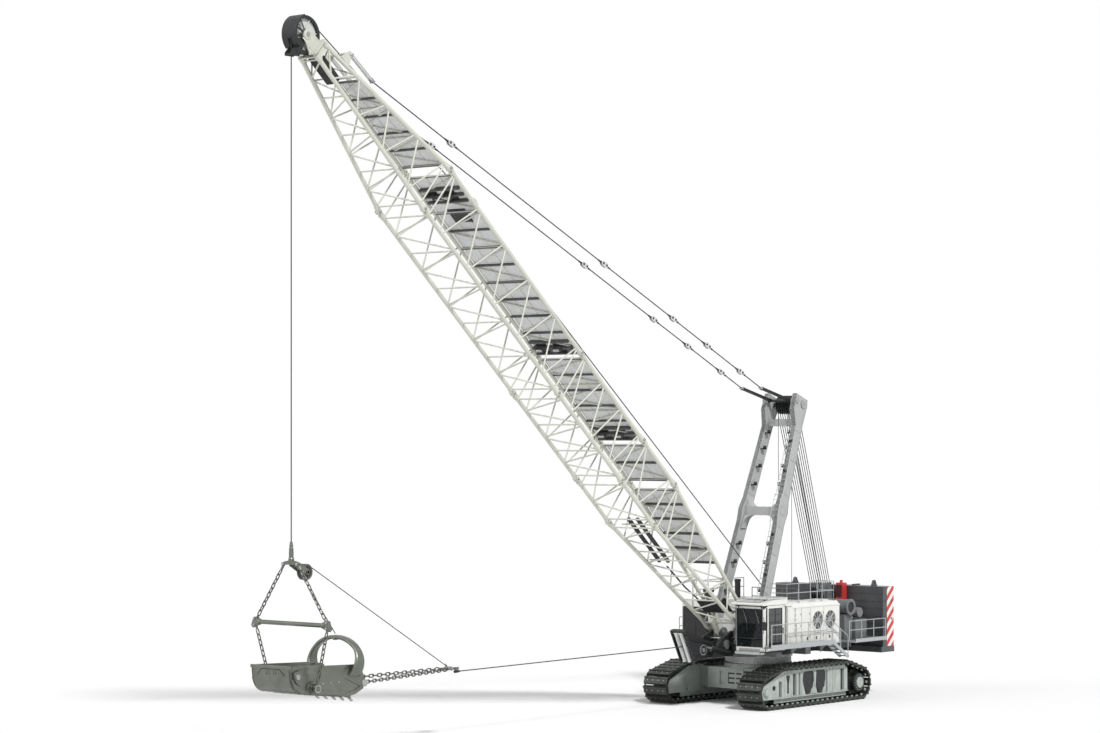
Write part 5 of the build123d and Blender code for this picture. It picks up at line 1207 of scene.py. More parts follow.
def build_rollers():
    """Cross bars and rope rollers in dark brackets on the top face."""
    b = Builder(on_boom)
    for place in ROLLER_PLACES:
        depth, width = chord_place(place)
        edge = width - 0.12
        for k in range(3):
            s = place - 0.34 + k * 0.34
            b.box(s - 0.03, s + 0.03, -edge, edge, depth - 0.12, depth + 0.09, 3)
        for y in (-0.62, 0.30):
            for k in range(2):
                s = place - 0.17 + k * 0.34
                b.tube((s, y - 0.20, depth + 0.13), (s, y + 0.20, depth + 0.13), 0.055, 20, 1)
                low, high = depth + 0.03, depth + 0.18
                bracket = [(s - 0.09, low), (s + 0.09, low), (s + 0.05, high), (s - 0.05, high)]
                for yy in (y - 0.24, y + 0.24):
                    b.plate(bracket, yy - 0.012, yy + 0.012)
                    b.wheel((s, yy, depth + 0.13), 0.035, 0.025, 14, 1)
            b.box(place - 0.36, place + 0.36, y - 0.27, y + 0.27, depth + 0.01, depth + 0.03)
            b.tube((place, y - 0.16, depth - 0.22), (place, y + 0.16, depth - 0.22), 0.06, 18, 1)
            b.box(place - 0.05, place + 0.05, y - 0.20, y - 0.18, depth - 0.26, depth, 3)
            b.box(place - 0.05, place + 0.05, y + 0.18, y + 0.20, depth - 0.26, depth, 3)
    # Guide roller: drum in the boom's paint on a dark bracket
    top = GUIDE_W + 0.14
    bracket = [
        (GUIDE_S - 0.40, 1.13), (GUIDE_S + 0.10, 1.13), (GUIDE_S + 0.10, top), (GUIDE_S - 0.14, top)
    ]
    b.tube((GUIDE_S, -0.30, GUIDE_W), (GUIDE_S, 0.30, GUIDE_W), GUIDE_RADIUS, 36, 2)
    for y in (-0.36, 0.36):
        b.wheel((GUIDE_S, y, GUIDE_W), GUIDE_RADIUS + 0.05, 0.02, 36, 2)
        b.plate(bracket, y * 1.14 - 0.02, y * 1.14 + 0.02)
    b.box(GUIDE_S - 0.36, GUIDE_S + 0.36, -0.46, 0.46, 1.12, 1.15)
    b.make(
        "boom_rollers", "boom", ["dark_steel", "machined_steel", "boom_paint", "engine_grey"], bevel=0.003
    )


def build_pins():
    """Connecting pins with keepers, at both sides of every chord joint."""
    b = Builder(on_boom)
    for _, s, _, _ in SECTIONS:
        for top, left in CORNERS:
            _, y, w = chord_at(s, top, left)
            b.tube((s + 0.06, y - 0.14, w), (s + 0.06, y + 0.14, w), 0.038, 16)
            b.disc((s + 0.06, y + left * 0.14, w), (0, left, 0), 0.058, 0.022, 16)
            b.box(s + 0.02, s + 0.10, y - 0.15, y - 0.142, w + 0.03, w + 0.055)
    b.make("boom_pins", "boom", ["machined_steel"])


def build_head_panel():
    """Black rope panel with its rungs inside the head."""
    b = Builder(on_boom)
    d1, w1 = chord_place(35.1)
    for y in (-0.30, 0.30):
        b.box(33.6, 35.25, y - 0.02, y + 0.02, -0.16, 0.05, 0)
    for k in range(9):
        s = 33.65 + k * 0.19
        b.box(s, s + 0.045, -0.30, 0.30, -0.14, 0.03, 0)
    b.box(33.55, 35.2, -0.28, 0.28, -0.19, -0.165, 1)
    # Head end plates with stiffeners
    b.box(35.02, 35.08, -w1 - 0.02, w1 + 0.02, -d1 - 0.06, -d1 + 0.12, 2)
    b.box(35.02, 35.08, -w1 - 0.02, w1 + 0.02, d1 - 0.12, d1 + 0.06, 2)
    for y in (-w1, w1):
        b.plate([
            (34.7, -d1), (35.15, -d1), (35.15, d1), (34.7, d1 + 0.02), (34.95, 0)
        ], y - 0.015, y + 0.015, 2)
    b.make("head_rope_panel", "boom", ["black", "dark_steel", "boom_paint"], bevel=0.003)


def build_sheave():
    """Sheave axle caps with bolts, and their keeper plates."""
    b = Builder(on_boom)
    for side in (1, -1):
        y = side * 0.21
        b.lathe((SHEAVE_S, y, SHEAVE_W), (0, side, 0), [
            (0.09, 0), (0.20, 0), (0.20, 0.02), (0.15, 0.03), (0.09, 0.03)
        ], 36)
        b.bolts(around((SHEAVE_S, y + side * 0.02, SHEAVE_W), 0.17, 8), (0, side, 0), 0.013, 0.013, 1)
        for w in (-0.20, 0.30):
            b.box(35.25, 35.9, y, y + side * 0.012, w, w + 0.06)
    b.make("sheave_caps", "boom", ["boom_paint", "machined_steel"], bevel=0.003)
    b = Builder(on_boom)
    # Turned head sheave: wide dark rim, light web with raised spokes, hub
    rim_profile = [
        (0.60, -0.13), (0.72, -0.13), (0.72, -0.10), (0.64, -0.04), (0.62, 0.0), (0.64, 0.04),
        (0.72, 0.10), (0.72, 0.13), (0.60, 0.13)
    ]
    b.lathe((SHEAVE_S, 0, SHEAVE_W), ACROSS, rim_profile, 72)
    b.wheel((SHEAVE_S, 0, SHEAVE_W), 0.61, 0.03, 48, 1, inner=0.19)
    b.wheel((SHEAVE_S, 0, SHEAVE_W), 0.21, 0.13, 36, 2, inner=0.0901)
    for k in range(6):
        angle = k * pi / 3 + 0.2
        c, s_ = cos(angle), sin(angle)
        for side in (-1, 1):
            inner = (SHEAVE_S + 0.2 * c, side * 0.06, SHEAVE_W + 0.2 * s_)
            outer = (SHEAVE_S + 0.605 * c, side * 0.06, SHEAVE_W + 0.605 * s_)
            b.tube(inner, outer, 0.028, 8, 1)
    b.make(
        "head_sheave_turned", "head_sheave", ["dark_steel", "pale", "machined_steel"], ["head_sheave"],
    )


def build_shield():
    """Wide rope shield over the sheave's front, held by spokes in the guard's straps."""
    b = Builder()
    centre = on_boom(SHEAVE_S, 0, SHEAVE_W)

    def point(r, a, t=0.0):
        return centre.x + r * cos(a) - t * sin(a), centre.z + r * sin(a) + t * cos(a)

    def band(first, last, inner):
        angles = [radians(a) for a in range(first, last + 1, 3)]
        return [point(SHIELD_OUT, a) for a in angles] + [point(inner, a) for a in reversed(angles)]

    b.plate(band(-15, 66, SHIELD_IN), -SHIELD_HALF, SHIELD_HALF)
    for side in (1, -1):
        for a in (radians(-8), radians(26), radians(60)):
            corners = ((0.12, -0.03), (SHIELD_IN, -0.03), (SHIELD_IN, 0.03), (0.12, 0.03))
            b.plate([point(r, a, t) for r, t in corners], side * 0.1375, side * 0.1465)
        lip = side * SHIELD_HALF, side * (SHIELD_HALF + 0.02)
        b.plate(band(-15, 66, SHIELD_IN - 0.05), *lip)
        # Below the rope's tangent point the shield is two strips, one each side of the rope
        b.plate(band(-45, -15, SHIELD_IN), side * 0.09, side * SHIELD_HALF)
        b.plate(band(-45, -15, SHIELD_IN - 0.05), *lip)
    b.make("rope_shield", "rope_guard", ["dark_steel"])


def build_butt_fittings():
    """Fittings in the butt: two stowed bars, cross plate, small winch and hoses."""
    b = Builder(on_boom)
    for y in (-0.62, -0.14):
        b.box(5.7, 8.6, y - 0.07, y + 0.07, -0.62, -0.50)
    for place in (5.9, 8.3):
        _, width = chord_place(place)
        b.box(place - 0.03, place + 0.03, -width + 0.06, width - 0.06, -0.66, -0.62, 2)
    _, width = chord_place(1.9)
    b.box(1.55, 2.35, -width + 0.12, width - 0.12, -0.07, -0.03)
    for y in (-0.42, 0.42):
        b.plate([(1.6, -0.03), (2.3, -0.03), (2.12, 0.30), (1.78, 0.30)], y - 0.02, y + 0.02)
    b.tube((1.95, -0.40, 0.16), (1.95, 0.40, 0.16), 0.15, 28, 1)
    for y in (-0.38, 0.38):
        b.wheel((1.95, y, 0.16), 0.24, 0.015)
    for y in (-0.62, -0.56, 0.58):
        b.sweep([
            (1.2, y, -0.10), (1.8, y, -0.02), (2.6, y, -0.12), (3.6, y, -0.30), (5.2, y, -0.42)
        ], 0.02, 8)
    b.make("butt_fittings", "boom", ["dark_steel", "machined_steel", "boom_paint"], bevel=0.003)


def build_pendants():
    """Pendants: thin ropes, white four-bar end links at the boom and dark ones at the mast."""
    b = Builder()
    start, end = Vector((0.54, 0, 13.98)), Vector((25.45, 0, 25.24))
    along = (end - start).normalized()
    across = Vector((-along.z, 0, along.x))
    nose = mast_point(1.0, 0.52)
    lug = on_boom(PENDANT_S, 0, pendant_rise())
    for y in (PENDANT_Y, -PENDANT_Y):
        side = Vector((0, y, 0))
        b.tube(start + along * 0.06 + side, end - along * 0.06 + side, 0.024, 10, mat=2)
        for first, last, mat in ((nose, start, 0), (end, lug, 3)):
            line = (last - first).normalized()
            up = Vector((-line.z, 0, line.x))
            for low in (Vector((0, 0.029, 0)), Vector((0, -0.067, 0))):
                for rise in (-0.036, 0.036):
                    p = first + line * 0.055 + side + up * rise
                    q = last - line * 0.055 + side + up * rise
                    bar = (p + up * 0.02, q + up * 0.02, q - up * 0.02, p - up * 0.02)
                    b.prism([corner + low for corner in bar], BAR_DEEP, mat)
            for joint in (first + line * 0.10, last - line * 0.10):
                for low in (0.029, -0.067):
                    centre = joint + side + Vector((0, low, 0))
                    block = ((-0.04, -0.07), (0.05, -0.07), (0.05, 0.07), (-0.04, 0.07))
                    b.prism([centre + line * dx + up * dz for dx, dz in block], BAR_DEEP, mat)
        for joint in (start, end):
            half = Vector((0, 0.095, 0))
            b.tube(joint + side - half, joint + side + half, 0.055, 20, mat=1)
        for part in (0.062, 0.159, 0.256, 0.444, 0.823):
            p = start + (end - start) * part + side
            # Clevis joint: two light cheeks with two pins between rope sockets
            for low in (-0.07, 0.035):
                cheek = [p + along * dx + across * dz + Vector((0, low, 0)) for dx, dz in CHEEK]
                b.prism(cheek, (0, 0.035, 0), 3)
            half = Vector((0, 0.10, 0))
            for dx in (-0.11, 0.11):
                b.tube(p + along * dx - half, p + along * dx + half, 0.042, 16, mat=0)
            b.tube(p - along * 0.42, p - along * 0.12, 0.03, 12, end_radius=0.05, mat=0)
            b.tube(p + along * 0.12, p + along * 0.42, 0.05, 12, end_radius=0.03, mat=0)
    b.make(
        "pendants_detailed", "mast", ["dark_steel", "machined_steel", "rope_steel", "pale"], ["pendants"],
        bevel=0.002
    )


def pendant_rise():
    """Height of the pendants' pin over the boom's axis."""
    return chord_place(PENDANT_S)[0] + 0.095 + 0.42


def mast_point(part, across=0.0):
    """Point in the mast legs' plane: part of the leg, and across it."""
    along = MAST_HEAD - FOOT
    length = along.length
    return FOOT + along * part + Vector((along.z / length, 0, -along.x / length)) * across


def leg_y(part):
    """How far out a mast leg is at a part of its length."""
    return MAST_FOOT_Y + (MAST_HEAD_Y - MAST_FOOT_Y) * part


def build_mast():
    """Mast's box legs with flanges, joints and pins."""
    # Place along the leg and half depth
    shaft = ((0.0, 0.19), (0.1, 0.24), (0.48, 0.28), (0.53, 0.38), (0.58, 0.28))
    front = shaft + ((0.9, 0.25), (0.96, 0.6), (1.03, 0.6))
    back = shaft + ((0.92, 0.25), (1.0, 0.33), (1.03, 0.25))
    b = Builder()
    for side in (1, -1):
        edge = [(part, half) for part, half in front] + [(part, -half) for part, half in reversed(back)]
        corners = []
        for part, across in edge:
            p = mast_point(part, across)
            corners.append((p.x, side * leg_y(part) - LEG_HALF, p.z))
        b.prism(corners, (0, 2 * LEG_HALF, 0))
        # Flange strips on both faces, seams and joint plates with bolts
        for line, sign in ((front, 1), (back, -1)):
            for (pa, ha), (pb, hb) in zip(line, line[1:]):
                corners = []
                for part, across in ((pa, ha - 0.03), (pa, ha), (pb, hb), (pb, hb - 0.03)):
                    p = mast_point(part, sign * across)
                    corners.append((p.x, side * leg_y(part) - 0.13, p.z))
                b.prism(corners, (0, 0.26, 0))
        for part in (0.2, 0.34, 0.46, 0.60, 0.75, 0.88):
            y = side * leg_y(part)
            for outer in (-1, 1):
                p0, p1 = mast_point(part, -0.20), mast_point(part, 0.20)
                q = mast_point(part + 0.004, 0) - mast_point(part, 0)
                yy = y + outer * LEG_HALF
                low = min(yy, yy + outer * 0.014)
                b.prism([(p.x, low, p.z) for p in (p0, p1, p1 + q, p0 + q)], (0, 0.014, 0))
        for outer in (-1, 1):
            y = side * leg_y(0.53) + outer * LEG_HALF
            p = mast_point(0.53, 0)
            b.turn((p.x, y, p.z), (0, outer, 0), [(0.22, 0), (0.22, 0.02), (0.14, 0.03)], 32)
            b.bolts(around((p.x, y + outer * 0.02, p.z), 0.18, 8), (0, outer, 0), 0.018, 0.018, 1)
            y = side * leg_y(1.0) + outer * 0.13
            h = mast_point(1.0, 0)
            b.turn((h.x, y, h.z), (0, outer, 0), [(0.17, 0), (0.17, 0.03), (0.09, 0.05)], 32, 1)
            n = mast_point(1.0, 0.52)
            b.disc((n.x, y, n.z), (0, outer, 0), 0.11, 0.03, 24, 1)
    b.make("mast_box_legs", "mast", ["mast_paint", "machined_steel"], ["mast_legs"], bevel=0.006)


def build_mast_cross():
    """Cross boxes with ribs."""
    b = Builder()
    for part, half in ((0.53, 0.19), (0.92, 0.16)):
        p = mast_point(part, 0)
        reach = leg_y(part) - 0.106
        b.box(p.x - half, p.x + half, -reach, reach, p.z - half, p.z + half)
        for y in (-reach * 0.5, 0, reach * 0.5):
            rib = half + 0.008
            b.box(p.x - rib, p.x + rib, y - 0.01, y + 0.01, p.z - rib, p.z + rib)
        # Arched gussets between the lower cross box and the legs
        if part < 0.9:
            for side in (1, -1):
                for up in (1, -1):
                    gusset = [(reach, half), (reach, half + 0.62)]
                    for k in range(9):
                        a = pi / 2 * k / 8
                        gusset.append((reach - 0.45 + 0.45 * cos(a), half + 0.60 - 0.60 * sin(a)))
                    slope = (1.7 + 2.2) / (13.25 - 3.1)
                    outline = []
                    for y, rise in gusset:
                        z = p.z + up * rise
                        outline.append((p.x - slope * (z - p.z) - 0.20, side * y, z))
                    b.prism(outline, (0.40, 0, 0))
    b.make("mast_cross_boxes", "mast", ["mast_paint"], ["mast_cross"], bevel=0.008)


def build_mast_brackets():
    """Small dark roller brackets and cleats on the legs."""
    b = Builder()
    for part in (0.18, 0.30, 0.38, 0.64, 0.72, 0.80, 0.87):
        for side in (1, -1):
            y = side * (leg_y(part) - LEG_HALF)
            p = mast_point(part, 0.12)
            b.box(p.x - 0.10, p.x + 0.10, y, y - side * 0.20, p.z - 0.03, p.z + 0.03)
            b.box(p.x - 0.10, p.x + 0.10, y - side * 0.17, y - side * 0.20, p.z - 0.03, p.z + 0.14)
            inner, up = y - side * 0.12, p.z + 0.08
            b.tube((p.x - 0.12, inner, up), (p.x + 0.12, inner, up), 0.045, 14, mat=1)
    for part in (0.25, 0.42, 0.70, 0.83):
        p = mast_point(part, 0.26)
        y = leg_y(part)
        b.box(p.x, p.x + 0.10, y - 0.05, y + 0.05, p.z - 0.06, p.z + 0.06)
    b.make("mast_brackets", "mast", ["dark_steel", "machined_steel"], bevel=0.003)


def build_mast_ladder():
    """Ladder on the front face of the left leg, with its stays."""
    b = Builder()
    for k in range(32):
        part = 0.14 + k * 0.0225
        p = mast_point(part, 0.34 if 0.47 > part or part > 0.59 else 0.44)
        y = leg_y(part)
        b.tube((p.x, y - 0.19, p.z), (p.x, y + 0.19, p.z), 0.011, 8)
        if k % 4 == 0:
            for dy in (-0.19, 0.19):
                q = mast_point(part, 0.26)
                b.tube((p.x, y + dy, p.z), (q.x, y + dy * 0.6, q.z), 0.01, 8)
    for dy in (-0.19, 0.19):
        path = []
        for part in (0.14, 0.46, 0.49, 0.57, 0.60, 0.85):
            p = mast_point(part, 0.44 if 0.47 < part < 0.59 else 0.34)
            path.append((p.x, leg_y(part) + dy, p.z))
        b.sweep(path, 0.014, 8)
    b.make("mast_ladder", "mast", ["rail_paint"])


def stretched(start, end, pieces):
    """Line cut in pieces."""
    start, end = Vector(start), Vector(end)
    return [start + (end - start) * (k / pieces) for k in range(pieces + 1)]


def build_ropes():
    """Ropes that run over the machine."""
    # Luffing ropes between the mast's head sheaves and the rear block
    b = Builder()
    low, high = Vector((-4.95, 0, 4.7)), MAST_HEAD
    axis = (high - low).normalized()
    across = Vector((axis.z, 0, -axis.x))
    for k in range(6):
        y = (k - 2.5) * 0.12
        for side in (-1, 1):
            start = low + across * (side * 0.33) + Vector((0, y, 0))
            end = high + across * (side * 0.37) + Vector((0, y, 0))
            b.sweep(stretched(start, end, 14), 0.017, 8)
    piece = b.make("luffing_ropes", None, ["rope_steel"])
    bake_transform(piece)
    # Two thin lines that hang between the mast legs
    b = Builder()
    b.tube((-1.55, 0, 9.0), (-1.55, 0, 12.9), 0.012, 8)
    b.make("mast_line_upper", "mast", ["rope_steel"])
    b = Builder()
    foot, top = Vector((-2.3, 0.2, 4.0)), Vector((-2.3, 0.2, 10.9))
    b.sweep(stretched(foot, top, 12), 0.012, 8)
    piece = b.make("mast_line_lower", None, ["rope_steel"])
    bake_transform(piece)
    # Luffing rope from the block down to its winch
    b = Builder()
    b.tube((-4.62, 0.3, 4.72), (-3.78, 0.25, 3.36), 0.017, 8)
    b.make("luffing_rope_end", "upper", ["rope_steel"])
    # Hoist rope: from the head sheave's top over the guide roller, then down to its winch
    b = Builder(on_boom)
    bottom = GUIDE_W + GUIDE_RADIUS + ROPE
    path = [(s, 0, w) for s, w in arc(SHEAVE_S, SHEAVE_W, 0.64, range(-38, 89, 14))]
    path.append((GUIDE_S + 0.1, 0, bottom))
    path.append((GUIDE_S, 0, bottom))
    b.sweep(path, ROPE, 8)
    b.make("hoist_rope_on_boom", "boom", ["rope_steel"])
    b = Builder()
    top = on_boom(GUIDE_S, 0, bottom)
    drum_top = Vector((-1.98, 0, 3.76))
    b.sweep(stretched(drum_top, top, 20), ROPE, 8)
    piece = b.make("hoist_rope_run", None, ["rope_steel"])
    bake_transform(piece)


# Bucket and its rigging


TRUNNION = Vector((29.11, 1.2, 2.6))
HITCH = Vector((26.4, 0.85, 2.63))
YOKE_END = Vector((20.64, 0.17, 2.74))
CHAIN_PITCH = 0.205
CHAIN_BAR = 0.043
HEEL_X, HEEL_Z, HEEL_RADIUS = 29.62, 3.06, 0.64
BUCKET_HALF = 1.0
# Across and up: pins of the equalizer and ends of the spreader bar
EQUALIZER_Y, EQUALIZER_Z = 0.36, 7.15
SPREADER_Y, SPREADER_Z = 1.9, 4.95
LIP_X, RIM_Z = 27.3, 3.46
ARCH_X, ARCH_DEPTH, ARCH_Z = 26.58, 0.4, 3.25


def hoist_x():
    """Where the hoist rope hangs down."""
    centre = on_boom(SHEAVE_S, 0, SHEAVE_W)
    return centre.x + 0.62 + ROPE + 0.0003


def links(b, start, end, up):
    """Row of round-bar links, every other one turned a quarter."""
    axis = (end - start).normalized()
    side = axis.cross(Vector(up)).normalized()
    other = axis.cross(side)
    length = (end - start).length
    overlap = CHAIN_BAR * 0.98
    count = max(1, round((length - 2 * overlap) / CHAIN_PITCH))
    step = (length - 2 * overlap) / count
    radius = CHAIN_BAR * 0.56
    wide = CHAIN_BAR * 1.9 - radius
    straight = step / 2 + overlap - radius - wide
    for k in range(count):
        flat = side if k % 2 else other
        middle = start + axis * (overlap + step * (k + 0.5))
        path = []
        for sign in (1, -1):
            for j in range(7):
                angle = pi * (j / 6 - 0.5)
                reach = axis * (sign * (straight + wide * cos(angle)))
                path.append(middle + reach + flat * (sign * wide * sin(angle)))
        b.sweep(path, radius, 8, closed=True)


def along_line(start, end, distance):
    """Point at a distance from the start of a line."""
    return start + (end - start).normalized() * distance


def socket(b, start, end, first, last, radius):
    """Short bar on the line between two points."""
    b.tube(along_line(start, end, first), along_line(start, end, last), radius, 14)


def build_chains():
    """Hoist, drag and lift chains with their end eyes."""
    x = hoist_x()
    equalizer = Vector((x, EQUALIZER_Y, EQUALIZER_Z))
    spreader = Vector((x, SPREADER_Y, SPREADER_Z))
    for name, start, end, up, node, body in (
        ("hoist_chain_links", equalizer, spreader, (1, 0, 0), "hoist_chains", "hoist_rig"),
        ("drag_chain_links", YOKE_END, HITCH, (0, 0, 1), "drag_chains", "drag_chain_set"),
        ("lift_chain_links", spreader, TRUNNION, (1, 0, 0), "lift_chains", "hoist_rig"),
    ):
        b = Builder()
        for side in (1, -1):
            b.place = mirror(side)
            b.flip = side < 0
            links(b, along_line(start, end, 0.26), along_line(end, start, 0.26), up)
            if node != "hoist_chains":
                # Eye round the trunnion or the hitch pin
                pin, inner = (TRUNNION, 0.1101) if node == "lift_chains" else (HITCH, 0.0601)
                b.wheel(pin, inner + 0.055, 0.045, inner=inner)
                toward = (start - pin).normalized()
                b.tube(pin + toward * (inner + 0.03), pin + toward * 0.29, 0.045, 12)
        b.make(name, body, ["chain_steel"], [node])


def build_tackle():
    """Rope socket, swivel, curved equalizer with pins."""
    x = hoist_x()
    b = Builder()
    b.turn((x, 0, 7.57), UP, [(0.085, 0), (0.085, 0.16), (0.06, 0.20), (0.075, 0.24), (0.05, 0.40)], 28)
    b.turn((x, 0, 7.26), UP, [(0.11, 0), (0.11, 0.08), (0.09, 0.12), (0.09, 0.32)], 28)
    outline = []
    for k in range(9):
        y = -0.46 + k * 0.115
        outline.append((y, 7.24 + 0.10 * cos(y * 3.2) - 0.06))
    outline += [(0.46, 7.08), (0.2, 7.12), (-0.2, 7.12), (-0.46, 7.08)]
    b.wall(outline, x - 0.06, x + 0.06)
    for side in (-1, 1):
        y = side * EQUALIZER_Y
        b.tube((x - 0.10, y, EQUALIZER_Z), (x + 0.10, y, EQUALIZER_Z), 0.05, 18, 1)
        spreader = Vector((x, side * SPREADER_Y, SPREADER_Z))
        socket(b, Vector((x, y, EQUALIZER_Z)), spreader, 0.04, 0.26, 0.05)
    b.make(
        "tackle_turned", "hoist_rig", ["bucket_steel", "machined_steel"], ["hoist_tackle"], bevel=0.006
    )


def build_spreader():
    """Spreader tube between triangular end castings."""
    b = Builder()
    x = hoist_x()
    b.tube((x, -1.72, SPREADER_Z), (x, 1.72, SPREADER_Z), 0.085, 28)
    for side in (-1, 1):
        casting = ((1.70, 4.83), (1.98, 4.72), (2.06, 4.82), (1.94, 5.12), (1.80, 5.14), (1.66, 5.02))
        b.wall([(side * y, z) for y, z in casting], x - 0.07, x + 0.07)
        b.lathe((x, side * 1.62, SPREADER_Z), (0, side, 0), [
            (0.085, 0), (0.115, 0.02), (0.115, 0.12), (0.085, 0.14)
        ], 28)
        for z in (4.84, 5.06):
            b.tube((x - 0.11, side * 1.89, z), (x + 0.11, side * 1.89, z), 0.042, 18, 1)
        spreader = Vector((x, side * SPREADER_Y, SPREADER_Z))
        trunnion = Vector((TRUNNION.x, side * TRUNNION.y, TRUNNION.z))
        socket(b, spreader, Vector((x, side * EQUALIZER_Y, EQUALIZER_Z)), 0.05, 0.26, 0.045)
        socket(b, spreader, trunnion, 0.05, 0.26, 0.045)
    b.make(
        "spreader_turned", "hoist_rig", ["bucket_steel", "machined_steel"], ["spreader_bar"], bevel=0.006
    )


def build_dump_block():
    """Dump block: twin sheaves between rounded side plates."""
    b = Builder()
    x = hoist_x()
    cx, cz = x - 0.7, 6.83
    for y in (-0.07, 0.07):
        b.lathe((cx, y, cz), ACROSS, [
            (0.22, -0.045), (0.30, -0.045), (0.30, -0.03), (0.26, 0), (0.30, 0.03), (0.30, 0.045),
            (0.22, 0.045)
        ], 40, 1)
        b.wheel((cx, y, cz), 0.10, 0.045, 24, 1, inner=0.05)
        for foot, tip in zip(around((cx, y, cz), 0.09, 5), around((cx, y, cz), 0.23, 5)):
            b.tube(foot, tip, 0.025, 8, 1)
    for side in (-1, 1):
        outline = arc(cx, cz, 0.12, range(110, 291, 30))
        outline += [(x - 0.12, 7.04), (x - 0.06, 7.06), (x - 0.06, 7.24), (x - 0.14, 7.22)]
        b.plate(outline, side * 0.13, side * 0.17)
        b.disc((cx, side * 0.17, cz), (0, side, 0), 0.085, 0.03, 24, 1)
    b.tube((cx, -0.2, cz), (cx, 0.2, cz), 0.049, 20, 1)
    b.make("dump_block_turned", "hoist_rig", ["bucket_steel", "chain_steel"], ["dump_block"], bevel=0.005)
    b = Builder()
    # Dump rope: from the yoke up over the block and down to the arch
    rise = [(px, 0.07, pz) for px, pz in arc(cx, cz, 0.27, range(120, -31, -15))]
    b.sweep([(20.75, 0.07, 2.83)] + rise, 0.018, 8)
    b.make("dump_rope", "hoist_rig", ["rope_steel"])
    b = Builder()
    leave, hold = Vector(rise[-1]), Vector((26.92, 0.0, 4.46))
    b.sweep(stretched(leave, hold, 12), 0.018, 8)
    piece = b.make("dump_rope_tail", None, ["rope_steel"])
    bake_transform(piece)


def build_yoke():
    """Yoke with its pins and rope sockets."""
    b = Builder()
    b.box(20.25, 20.7, -0.20, 0.20, 2.70, 2.78)
    for y in (-0.23, 0.15):
        b.slab([(20.25, y), (20.45, y), (20.45, y + 0.08), (20.25, y + 0.08)], 2.685, 2.795)
    for y in (-0.17, 0.17):
        b.tube((20.6, y, 2.66), (20.6, y, 2.82), 0.04, 18, 1)
        hitch = Vector((HITCH.x, copysign(HITCH.y, y), HITCH.z))
        socket(b, Vector((YOKE_END.x, y, YOKE_END.z)), hitch, 0.02, 0.26, 0.045)
    b.tube((20.70, 0, 2.79), (20.78, 0, 2.93), 0.035, 14, 1)
    b.make(
        "yoke_turned", "drag_chain_set", ["bucket_steel", "machined_steel"], ["drag_yoke"], bevel=0.006
    )


def build_drag_rope():
    """Drag rope's socket."""
    b = Builder()
    end = Vector((20.2497, 0, 2.5980))
    start = Vector((FAIRLEAD_X, 0, FAIRLEAD_Z))
    b.turn(end, tuple(start - end), [(0.058, 0), (0.058, 0.16), (0.035, 0.31), (0.024, 0.34)], 24)
    b.tube(along_line(end, start, 0.30), along_line(start, end, -0.30), ROPE, 12, mat=1)
    b.make("drag_rope_socketed", "drag_rope", ["dark_steel", "rope_steel"], ["drag_rope"])


def bucket_line(inset):
    """Floor, heel and rear wall of the bucket, from the lip to the rim."""
    floor_line = [(LIP_X, 2.18 + inset), (28.0, 2.28 + inset), (29.3, 2.4 + inset)]
    heel = arc(HEEL_X, HEEL_Z, HEEL_RADIUS - inset, range(-100, 1, 10))
    return floor_line + heel + [(HEEL_X + HEEL_RADIUS + 0.04 - inset, RIM_Z)]


